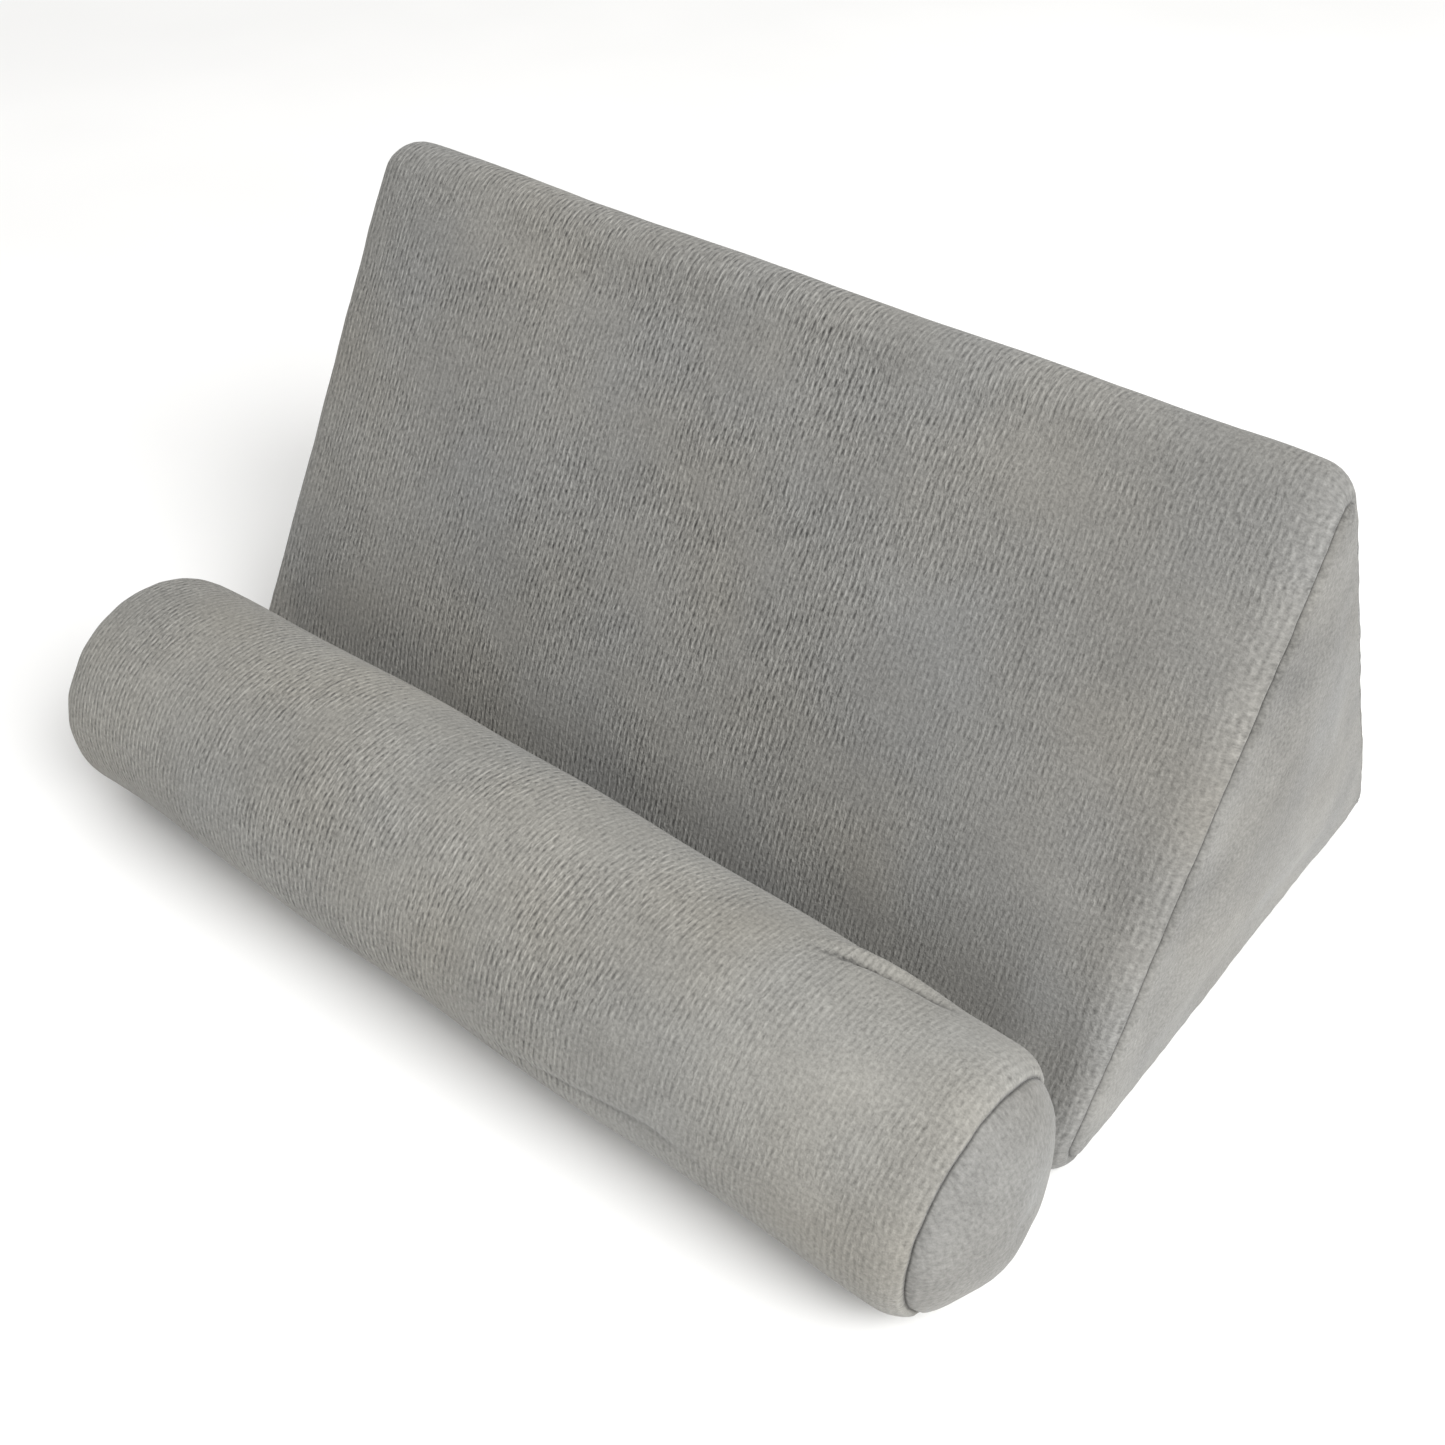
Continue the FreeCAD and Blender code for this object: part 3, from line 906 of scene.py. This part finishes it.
face_out = np.array([0, -math.sin(CORNER), math.cos(CORNER)])
on_face = np.clip(away @ face_out, 0, 1) ** 2
between_ends = 1 - np.clip((np.abs(rest[:, 0]) - GROOVE_END) / GROOVE_FADE, 0, 1) ** 2
groove = GROOVE_DEPTH * fade(rest[:, 2] - GROOVE_RISE, GROOVE_WIDTH) * on_face * between_ends
at -= groove[:, None] * face_out

# Along the bottom of each end the foam's own weight keeps the edge sharper than elsewhere.
over_side = np.clip((np.abs(rest[:, 0]) - straight) / EDGE, 0, 1)
over_foot = np.clip(1 - rest[:, 2] / EDGE, 0, 1)
at[:, 0] += np.sign(rest[:, 0]) * FOOT_SHARP * over_side * over_foot
at[:, 2] -= FOOT_SHARP * over_side * over_foot

inwards = np.array(heart) - rest
inwards[:, 0] = -np.sign(rest[:, 0]) * 0.04
inwards /= np.linalg.norm(inwards, axis=1, keepdims=True)
for way, pull in zip(corner_ways, CORNER_PULLS):
    at += inwards * (near_corner(rest, way, CORNER_WIDTH) * pull)[:, None]

from_seam = span - wedge_seam_span
ease = 1 - VALLEY_EASE * near_corner(rest, corner_ways[0], EASE_WIDTH)
pucker_at = np.column_stack([place, np.sign(rest[:, 0]) * 0.5, from_seam * 0.25])
valley = seam_valley(from_seam, 0.9 * MM)
pucker = PUCKER * wander(pucker_at, 4.2 * MM, 1) * fade(from_seam, 5.0 * MM)
swell = 0.45 * MM * wander(rest, 45 * MM, 2) + 0.16 * MM * wander(rest, 14 * MM, 3)
at += away * (pucker - valley * ease + swell)[:, None]

zip_end = fade(rise - 17 * MM, 3.2 * MM) * fade(np.abs(rest[:, 0]) - ZIP_END, 6 * MM)
at -= away * (ZIP_DENT * zip_end * on_back)[:, None]
finish_skin(wedge_skin, rest, at, heart)

# %% [markdown]
# ## Shaping the roll's cover
#
# The roll's filling is softer, so its cloth wanders more. Its ends droop on to the table, its side is pressed
# in a little where the wedge is, and all along its lower back it is drawn out into a blunt tail, where the
# strip is sewn to it. A crease runs along the top
# near the right end, with a soft ridge beside it, and a low fold lies along the front. Each crease is a short
# line on the unrolled cloth: a few places given as (x, angle round the roll).

# %% Shape the roll's cover
BACK_CREASE = [(86.0, 73.0), (94.5, 60.0), (104.0, 54.5), (117.0, 54.0)]
FRONT_FOLD = [(18.0, 196.0), (49.0, 187.5), (73.0, 181.0), (92.0, 184.0)]
ROLL_LIMIT = 1.2 * MM
TAIL = 6.0 * MM
TAIL_TURN = math.radians(-50)
TAIL_WIDTH = math.radians(24)
TAIL_GROWTH = 0.6
DROOP_FROM = 100 * MM
DROOP_RUN = 40 * MM
END_DROOP = 3.4 * MM
END_LEAN = 2.2 * MM
LEFT_SHORT = 1.6 * MM
PRESSED = 2.2 * MM
PRESSED_TURN = math.radians(-12)
PRESSED_WIDTH = math.radians(38)
BACK_HALF = math.radians(130)


def turn_of(at):
    """The angle round the roll of each point, from the back upwards."""
    return np.arctan2(at[:, 2] - roll_heart.z, at[:, 1] - roll_heart.y) % FULL_TURN


def turn_from(turn, other):
    """How far apart two angles are, either way round."""
    return np.abs((turn - other + math.pi) % FULL_TURN - math.pi)


def beside_line(rest, angle, line):
    """Signed distance from a line on the unrolled cloth, and how near the line's own middle, 0 to 1."""
    here = np.column_stack([rest[:, 0], angle * roll_radius])
    knots = np.array([(x * MM, math.radians(turn) * roll_radius) for x, turn in line])
    side = np.full(len(here), 1.0)
    middle = np.zeros(len(here))
    total = len(knots) - 1
    for k, (a, b) in enumerate(zip(knots, knots[1:])):
        run = b - a
        share = np.clip((here - a) @ run / (run @ run), 0, 1)
        off = here - a - share[:, None] * run
        signed = np.sign(run[0] * off[:, 1] - run[1] * off[:, 0]) * np.linalg.norm(off, axis=1)
        closer = np.abs(signed) < np.abs(side)
        side[closer] = signed[closer]
        middle[closer] = np.sin(math.pi * (k + share[closer]) / total)
    return side, np.maximum(middle, 0)


rest = points_of(roll_skin)
keep_rest(roll_skin, rest)
span = values_of(roll_skin, "span")
angle = turn_of(rest)
at = rest.copy()
at += fill_out(roll_skin, 4 * MM, ROLL_LIMIT)

away = outwards(roll_skin)
from_seam = span - roll_seam_span
round_at = np.column_stack([np.cos(angle), np.sin(angle), np.sign(rest[:, 0])]) * seam_radius
round_at[:, 2] += from_seam * 0.2
valley = seam_valley(from_seam, 0.8 * MM)
pucker = 0.5 * MM * wander(round_at, 5.0 * MM, 4) * fade(from_seam, 5.5 * MM)
swell = 1.1 * MM * wander(rest, 48 * MM, 5) + 0.35 * MM * wander(rest * (0.45, 1, 1), 15 * MM, 6)
crease, crease_middle = beside_line(rest, angle, BACK_CREASE)
fold, fold_middle = beside_line(rest, angle, FRONT_FOLD)
creased = -2.3 * MM * fade(crease, 1.9 * MM) + 1.2 * MM * fade(crease + 4.2 * MM, 2.8 * MM)
folded = -1.0 * MM * fade(fold, 2.2 * MM) + 0.8 * MM * fade(fold + 5.0 * MM, 4.0 * MM)
on_end = np.clip(from_seam / (6 * MM), 0, 1)
lumps = 1.3 * MM * wander(rest * (0.3, 1, 0.6), 15 * MM, 9) * on_end
pressed = PRESSED * fade(turn_from(angle, PRESSED_TURN), PRESSED_WIDTH) * (1 - on_end)
lift = pucker - valley + swell + lumps - pressed + creased * crease_middle + folded * fold_middle
at += away * lift[:, None]

from_axis = np.hypot(rest[:, 1] - roll_heart.y, rest[:, 2] - roll_heart.z) / roll_radius
growth = 1 + TAIL_GROWTH * np.clip(rest[:, 0] / roll_half, 0, 1) ** 4
tail = TAIL * fade(turn_from(angle, TAIL_TURN), TAIL_WIDTH) * from_axis ** 2 * growth
at += np.column_stack([0 * angle, np.cos(angle), np.sin(angle)]) * tail[:, None]
end_droop = np.clip((np.abs(rest[:, 0]) - DROOP_FROM) / DROOP_RUN, 0, 1) ** 2
at[:, 2] -= END_DROOP * end_droop
at[:, 1] += END_LEAN * end_droop * (rest[:, 2] / roll_high.z)
at[:, 0] += LEFT_SHORT * np.clip(-rest[:, 0] / roll_half, 0, 1) ** 4
finish_skin(roll_skin, rest, at, roll_heart)

# Where the pile paints shade in each fold's bottom and a highlight on its crest, and how strongly.
fold_across = np.where(angle < BACK_HALF, -crease, -fold)
fold_shading = np.where(angle < BACK_HALF, crease_middle ** 0.6, 0.35 * fold_middle)
fold_shading *= fade(fold_across, 6 * MM)
for label, values in (("fold_across", fold_across), ("fold_shading", fold_shading)):
    kept = roll_skin.data.attributes.new(label, "FLOAT", "POINT")
    kept.data.foreach_set("value", values)

# %% [markdown]
# ## Cutting the skins into panels
#
# Each cover is sewn from panels, and each panel is a piece of its own. A panel is a copy of the skin with
# the other panels' faces taken away. Its raw edge is turned inwards, as a seam allowance is, so no gap shows
# between two panels, and a Solidify modifier gives the cloth its thickness.
#
# The pile's two UV maps are written here. A place on a closed outline jumps from its full length back to
# nothing somewhere, so each face's corners are kept beside the face's own middle.

# %% Panel helpers
TURN_IN = 1.7 * MM
CLOTH = 1.3 * MM


def corners_of(thing):
    """For each corner of each face: its point's number and its face's number."""
    points = np.zeros(len(thing.data.loops), int)
    thing.data.loops.foreach_get("vertex_index", points)
    counts = np.zeros(len(thing.data.polygons), int)
    thing.data.polygons.foreach_get("loop_total", counts)
    return points, np.repeat(np.arange(len(counts)), counts)


def face_means(thing, values):
    """The mean of a value over each face's corners."""
    points, faces = corners_of(thing)
    starts = np.flatnonzero(np.diff(faces, prepend=-1))
    sums = np.add.reduceat(np.asarray(values)[points], starts, axis=0)
    return (sums.T / np.bincount(faces)).T


def write_map(thing, name, u, v):
    """A UV map with a value for each corner of each face."""
    layer = thing.data.uv_layers.new(name=name, do_init=False)
    layer.data.foreach_set("uv", np.column_stack([u, v]).ravel())


def write_pile_maps(panel, find_place, full, seam_span, flat):
    """The cloth and seam maps. Flat panels have straight ribs, and others have ribs round the outline."""
    rest = rest_of(panel)
    span = values_of(panel, "span")
    points, faces = corners_of(panel)
    middle = find_place(face_means(panel, rest))[faces]
    place = middle + (find_place(rest)[points] - middle + full / 2) % full - full / 2
    side = np.sign(face_means(panel, rest)[faces, 0])
    write_map(panel, "seam", place + 0.3 * side, span[points] - seam_span)
    if flat:
        write_map(panel, "cloth", rest[points, 1] + 0.2 * side, rest[points, 2])
    else:
        write_map(panel, "cloth", rest[points, 0], place)


def cut_panel(skin, name, kept, material):
    """A panel: the skin's faces where kept is true, edges turned in, with thickness and a material."""
    bm = bmesh.new()
    bm.from_mesh(skin.data)
    bm.faces.ensure_lookup_table()
    bmesh.ops.delete(bm, geom=[bm.faces[i] for i in np.flatnonzero(~kept)], context="FACES")
    bm.normal_update()
    raw = [e for e in bm.edges if e.is_boundary]
    ways = {v.co.copy().freeze(): v.normal.copy() for e in raw for v in e.verts}
    for v in draw_out(bm, raw)[0]:
        v.co -= ways[v.co.copy().freeze()] * TURN_IN
    panel = object_from(bm, name)
    panel.data.materials.append(material)
    thick = panel.modifiers.new("cloth thickness", "SOLIDIFY")
    thick.thickness = CLOTH
    thick.offset = -1
    return panel


def stand_in(piece, body, node_name):
    """Makes a piece move with its body, hides the frame part it stands for and prints how many faces it has.
    """
    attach(piece, body)
    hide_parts(node_name)
    print("%-18s %6d faces" % (piece.name, len(piece.data.polygons)))


def pad_out(piece, body, node_name):
    stand_in(piece, body, node_name)


# %% [markdown]
# ## The wedge's four panels
#
# The wrap goes up the face, over the top and down the back to the zip. The base turns up behind to meet the
# zip from below. The ends are cut across the ribs, so their pile looks smoother.

# %% Cut the wedge's panels
full_outline = 3 * (flat_length + EDGE * 2 * CORNER)
back_foot = 2 * flat_length + 3 * EDGE * CORNER + EDGE / math.tan(CORNER / 2)
lip_above = back_foot - ZIP_RISE - ZIP_SLOT / 2
lip_below = back_foot - ZIP_RISE + ZIP_SLOT / 2

centres = face_means(wedge_skin, rest_of(wedge_skin))
place = outline_place(centres)
in_end = face_means(wedge_skin, values_of(wedge_skin, "span")) > wedge_seam_span
in_slot = (place > lip_above) & (place < lip_below) & (np.abs(centres[:, 0]) < straight)
in_base = (place > lip_below) & ~in_end
in_wrap = ~(in_base | in_end | in_slot)

wedge_panels = [
    ("wedge_wrap", in_wrap, front_cloth, "cover_wrap", "pile_cloth"),
    ("wedge_base", in_base, base_cloth, "cover_base", "pile_cloth"),
    ("wedge_end_left", in_end & (centres[:, 0] < 0), end_cloth, "cover_end_left", "pile_cloth_side"),
    ("wedge_end_right", in_end & (centres[:, 0] > 0), end_cloth, "cover_end_right", "pile_cloth_side"),
]
for name, kept, material, node_name, slot in wedge_panels:
    panel = cut_panel(wedge_skin, name, kept, material)
    write_pile_maps(panel, outline_place, full_outline, wedge_seam_span, material is end_cloth)
    pad_out(panel, "wedge", node_name)

# %% [markdown]
# ## The roll's three panels
#
# A sleeve with a round disc sewn into each end. The sleeve's own lengthwise seam is underneath, where the
# strip is caught in it.

# %% Cut the roll's panels


def round_roll(at):
    """How far round the roll each point lies, measured over the barrel's cloth."""
    return turn_of(at) * roll_radius


centres = face_means(roll_skin, rest_of(roll_skin))
in_cap = face_means(roll_skin, values_of(roll_skin, "span")) > roll_seam_span
roll_panels = [
    ("roll_sleeve", ~in_cap, roll_cloth, "roll_wrap", "pile_cloth_roll"),
    ("roll_end_left", in_cap & (centres[:, 0] < 0), end_cloth, "roll_cap_left", "pile_cloth_side"),
    ("roll_end_right", in_cap & (centres[:, 0] > 0), end_cloth, "roll_cap_right", "pile_cloth_side"),
]
for name, kept, material, node_name, slot in roll_panels:
    panel = cut_panel(roll_skin, name, kept, material)
    write_pile_maps(panel, round_roll, FULL_TURN * roll_radius, roll_seam_span, material is end_cloth)
    points, _ = corners_of(panel)
    write_map(panel, "fold", values_of(panel, "fold_across")[points], values_of(panel, "fold_shading")[points])
    pad_out(panel, "roll", node_name)

# %% [markdown]
# ## The foam inside
#
# The foam is the same two shapes, a few millimetres smaller. The skins' own helpers draw it, with longer
# bands, because it shows only if a cover is opened.

# %% Foam
FOAM_STEP = 9.0 * MM
FOAM_INSET = 4.3 * MM
FOAM_TURN = math.radians(80)


def draw_barrel(bm, half, bands, radius):
    """Plain bands from the middle to the end, then the rounded edge."""
    rim = bm.edges[:]
    for k in range(bands):
        rim = draw_band(bm, rim, half / bands, 0)
    return draw_round(bm, rim, radius, [FOAM_TURN * k / 5 for k in range(1, 6)])


def finish_foam(bm, name, body, node_name):
    both_halves(bm)
    block = object_from(bm, name)
    block.data.materials.append(foam)
    pad_out(block, body, node_name)


foam_round = EDGE - FOAM_INSET
bm = wedge_ring(foam_round, corner_reach - FOAM_INSET, FOAM_STEP)
rim = draw_barrel(bm, straight, round(straight / FOAM_STEP), foam_round)
draw_disc(bm, rim, heart, 0, 5, 0)
finish_foam(bm, "wedge_foam_block", "wedge", "wedge_foam")

core_radius = roll_radius - ROLL_TAPER - FOAM_INSET
bm = start_skin(core_radius, 72)
bmesh.ops.translate(bm, verts=bm.verts[:], vec=roll_heart)
rim = draw_barrel(bm, barrel_half, round(barrel_half / FOAM_STEP), SHOULDER)
draw_disc(bm, rim, roll_heart, 0, 4, 0)
finish_foam(bm, "roll_foam_core", "roll", "roll_foam")

# %% [markdown]
# ## The zip's own directions
#
# The zip lies on the back slope, so it is easiest to build in its own directions: up the slope, along the
# zip, and out of it. The frame's zip parts are measured in those directions too.

# %% Zip frame
zip_frame = Matrix.Translation(rear_corner) @ Matrix((
    (zip_up.x, 1, zip_out.x, 0),
    (zip_up.y, 0, zip_out.y, 0),
    (zip_up.z, 0, zip_out.z, 0),
    (0, 0, 0, 1)))


def zip_box(node_name):
    """Lowest and highest corner of a frame part, as (up, along, out)."""
    back = zip_frame.inverted()
    at = np.array([back @ v.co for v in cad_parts[node_name].data.vertices])
    return Vector(at.min(0)), Vector(at.max(0))


table = bpy.context.evaluated_depsgraph_get()
wedge_surface = BVHTree.FromObject(wedge_skin, table)


def on_cloth(up, along):
    """The place on the wedge's cloth above a place in the zip's directions."""
    start = zip_frame @ Vector((up, along, 0.02))
    return wedge_surface.ray_cast(start, -zip_out)[0]


# %% [markdown]
# ## Zip tapes
#
# Two woven tapes carry the coils. Each is one thin sheet, mostly hidden under the cover's lips. A grid gives
# it a gentle ripple, as a tape has once it is sewn to stretchy cloth.

# %% Zip tapes
TAPE_CUT = 10.2 * MM
TAPE_THICK = 0.45 * MM
TAPE_RIPPLE = 0.12 * MM


def grid_map(thing):
    """Lays the cloth map over a flat piece, in its own first two directions."""
    points, _ = corners_of(thing)
    at = points_of(thing)[points]
    write_map(thing, "cloth", at[:, 0], at[:, 1])


def flat_grid(width, length, across, along):
    """A flat grid with its middle at the origin."""
    bm = bmesh.new()
    bmesh.ops.create_grid(bm, x_segments=across, y_segments=along, size=0.5)
    bmesh.ops.scale(bm, verts=bm.verts[:], vec=(width, length, 1))
    return bm


def thicken(thing, thickness, rounding):
    thick = thing.modifiers.new("thickness", "SOLIDIFY")
    thick.thickness = thickness
    thick.offset = 0
    soft = thing.modifiers.new("soft edge", "BEVEL")
    soft.width = rounding
    soft.segments = 2
    soft.limit_method = "ANGLE"
    soft.angle_limit = math.radians(50)


for side, node_name in ((1, "zip_tape_upper"), (-1, "zip_tape_lower")):
    low, high = zip_box(node_name)
    inner = low.x if side > 0 else high.x
    bm = flat_grid(TAPE_CUT, high.y - low.y, 6, 130)
    bmesh.ops.translate(bm, verts=bm.verts[:], vec=(inner + side * TAPE_CUT / 2, 0, (low.z + high.z) / 2))
    for v in bm.verts:
        from_coil = abs(v.co.x - inner) / TAPE_CUT
        v.co.z += TAPE_RIPPLE * from_coil * noise.noise(v.co / (9 * MM))
    tape = object_from(bm, "zip_tape_" + ("above" if side > 0 else "below"))
    grid_map(tape)
    tape.data.transform(zip_frame)
    tape.data.materials.append(zip_tape_weave)
    thicken(tape, TAPE_THICK, 0.08 * MM)
    stand_in(tape, "wedge", node_name)
print("tapes %.1f mm long" % ((high.y - low.y) / MM))

# %% [markdown]
# ## Zip teeth
#
# A coil zip's teeth are one wound thread, seen from outside as a row of short fat bars that lean a little.
# Each bar here is a small ball stretched across the zip. The two rows are staggered by half a tooth.

# %% Zip teeth
TOOTH_PITCH = 1.25 * MM
TOOTH_LEAN = math.radians(7)

for side, node_name in ((1, "zip_coil_upper"), (-1, "zip_coil_lower")):
    low, high = zip_box(node_name)
    half_size = ((high.x - low.x) / 2, TOOTH_PITCH * 0.47, (high.z - low.z) / 2)
    count = int((high.y - low.y) / TOOTH_PITCH) - 1
    bm = bmesh.new()
    for k in range(count):
        along = low.y + TOOTH_PITCH * (k + 1 + 0.25 * side)
        centre = Vector(((low.x + high.x) / 2, along, (low.z + high.z) / 2))
        turned = Matrix.Rotation(side * TOOTH_LEAN, 4, "Z") @ Matrix.Diagonal((*half_size, 1))
        bar = Matrix.Translation(centre) @ turned @ Matrix.Rotation(math.pi / 2, 4, "Y")
        bmesh.ops.create_uvsphere(bm, u_segments=8, v_segments=6, radius=1, matrix=zip_frame @ bar)
    bmesh.ops.recalc_face_normals(bm, faces=bm.faces[:])
    teeth = object_from(bm, "zip_teeth_" + ("above" if side > 0 else "below"))
    teeth.data.materials.append(coil_plastic)
    stand_in(teeth, "wedge", node_name)
print("teeth in a row:", count)

# %% [markdown]
# ## Slider and pull
#
# Their shape is right in the frame, but every edge is knife sharp, which no casting is. A copy is made of
# each, its loose triangles are merged, flat faces are joined again, and the edges are bevelled.

# %% Slider and pull


def softened(node_name, name, rounding, body):
    """A copy of a frame part with bevelled edges."""
    bm = bmesh.new()
    bm.from_mesh(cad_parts[node_name].data)
    bmesh.ops.remove_doubles(bm, verts=bm.verts[:], dist=2e-6)
    bmesh.ops.dissolve_limit(bm, angle_limit=math.radians(1), verts=bm.verts[:], edges=bm.edges[:])
    sharp = [e for e in bm.edges if e.is_manifold and e.calc_face_angle() > math.radians(50)]
    bmesh.ops.bevel(bm, geom=sharp, offset=rounding, segments=2, profile=0.5, affect="EDGES", material=-1,
                    clamp_overlap=True)
    bmesh.ops.triangulate(bm, faces=[f for f in bm.faces if len(f.verts) > 4])
    made = object_from(bm, name)
    made.data.materials.append(painted_zinc)
    made.data.set_sharp_from_angle(angle=math.radians(35))
    stand_in(made, body, node_name)


softened("zip_slider", "zip_slider_body", 0.12 * MM, "slider")
softened("zip_pull", "zip_pull_tab", 0.10 * MM, "pull")

# %% [markdown]
# ## Stitching
#
# A row of stitches holds each lip of the cover to its tape. A stitch is a short piece of thread that dips
# into the pile at both ends, so a stretched ball sunk into the cloth is enough.

# %% Stitching along the zip
STITCH_PITCH = 3.1 * MM
STITCH = Vector((0.26, 1.2, 0.30)) * MM
STITCH_MARGIN = 2.3 * MM

low, high = zip_box("zip_tape_upper")
lie = zip_frame.to_3x3().to_4x4() @ Matrix.Diagonal((*STITCH, 1)) @ Matrix.Rotation(math.pi / 2, 4, "X")
bm = bmesh.new()
for up in (ZIP_RISE + ZIP_SLOT / 2 + STITCH_MARGIN, ZIP_RISE - ZIP_SLOT / 2 - STITCH_MARGIN):
    for k in range(int((high.y - low.y) / STITCH_PITCH)):
        centre = on_cloth(up, low.y + STITCH_PITCH * (k + 0.5))
        bmesh.ops.create_uvsphere(bm, u_segments=7, v_segments=6, radius=1,
                                  matrix=Matrix.Translation(centre) @ lie)
bmesh.ops.recalc_face_normals(bm, faces=bm.faces[:])
stitching = object_from(bm, "zip_stitching")
grid_map(stitching)
stitching.data.materials.append(sewing_thread)
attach(stitching, "wedge")

# %% [markdown]
# ## Care label
#
# A small blank satin label, sewn by one short edge to the left end panel and lying on it. Its grid is
# dropped on to the cloth, and its free end lifts a little.

# %% Care label
LABEL_THICK = 0.3 * MM
LABEL_GAP = 0.35 * MM
LABEL_LIFT = 1.1 * MM

low, high = zip_box("care_label")
bm = flat_grid(high.x - low.x, high.z - low.z, 12, 17)
label = object_from(bm, "blank_care_label")
grid_map(label)
at = points_of(label)
for i, (up, out, _) in enumerate(at.copy()):
    start = zip_frame @ Vector((up + (low.x + high.x) / 2, -0.2, out + (low.z + high.z) / 2))
    landed = wedge_surface.ray_cast(start, Vector((1, 0, 0)))[0]
    free = 0.5 - out / (high.z - low.z)
    lift = LABEL_GAP + LABEL_LIFT * free ** 2 * (0.6 + 0.4 * math.sin(up / (5 * MM)))
    at[i] = landed - Vector((lift, 0, 0))
put_points(label, at)
label.data.materials.append(satin)
thicken(label, LABEL_THICK, 0.05 * MM)
stand_in(label, "wedge", "care_label")

# %% [markdown]
# ## The joining strip
#
# One doubled strip of the cover's cloth joins the roll to the wedge and is the hinge on which the roll turns
# under. It is a grid of fine bands across the fold, so that it can bend there, with a slight wave, because
# nothing holds it flat between its two seams. At one edge it moves with the wedge and at the other with
# the roll.

# %% Joining strip
STRIP_THICK = 1.9 * MM
STRIP_TUCK = 2.6 * MM
STRIP_HALF = 133 * MM
STRIP_WAVE = 0.30 * MM
STRIP_REACH = 1.2 * MM
STRIP_BOW = 0.8 * MM
FOLD_HALF = 2.2 * MM

strip_low, strip_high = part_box("hinge_strip")
fold_y = (strip_high.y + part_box("strip_seam")[0].y) / 2
rear = fold_y + STRIP_TUCK
front = strip_low.y - STRIP_REACH
bm = flat_grid(2 * STRIP_HALF, rear - front, 110, 36)
bmesh.ops.translate(bm, verts=bm.verts[:], vec=(0, (rear + front) / 2, STRIP_THICK / 2 + ON_TABLE))
for v in bm.verts:
    between = math.sin(math.pi * (v.co.y - front) / (rear - front))
    v.co.z += STRIP_WAVE * between * (1 + noise.noise(Vector((v.co.x / (30 * MM), v.co.y / (60 * MM), 0))))
    v.co.x += math.copysign(STRIP_BOW, v.co.x) * between * (abs(v.co.x) > STRIP_HALF - 3 * MM)
strip = object_from(bm, "joining_strip")
grid_map(strip)
points, _ = corners_of(strip)
at = points_of(strip)[points]
write_map(strip, "seam", at[:, 1], 0.02 + 0 * at[:, 0])
strip.data.materials.append(roll_cloth)
thicken(strip, STRIP_THICK, 0.7 * MM)
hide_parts("hinge_strip", "strip_seam")
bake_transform(strip, "wedge", "roll", start=(0, fold_y + FOLD_HALF, 0), end=(0, fold_y - FOLD_HALF, 0))
print("strip %.0f x %.1f mm" % (2 * STRIP_HALF / MM, (rear - front) / MM))

# %% [markdown]
# ## Finish
#
# The two whole skins have done their work and are removed.

# %% Finish
bpy.data.objects.remove(wedge_skin)
bpy.data.objects.remove(roll_skin)
bpy.context.view_layer.update()
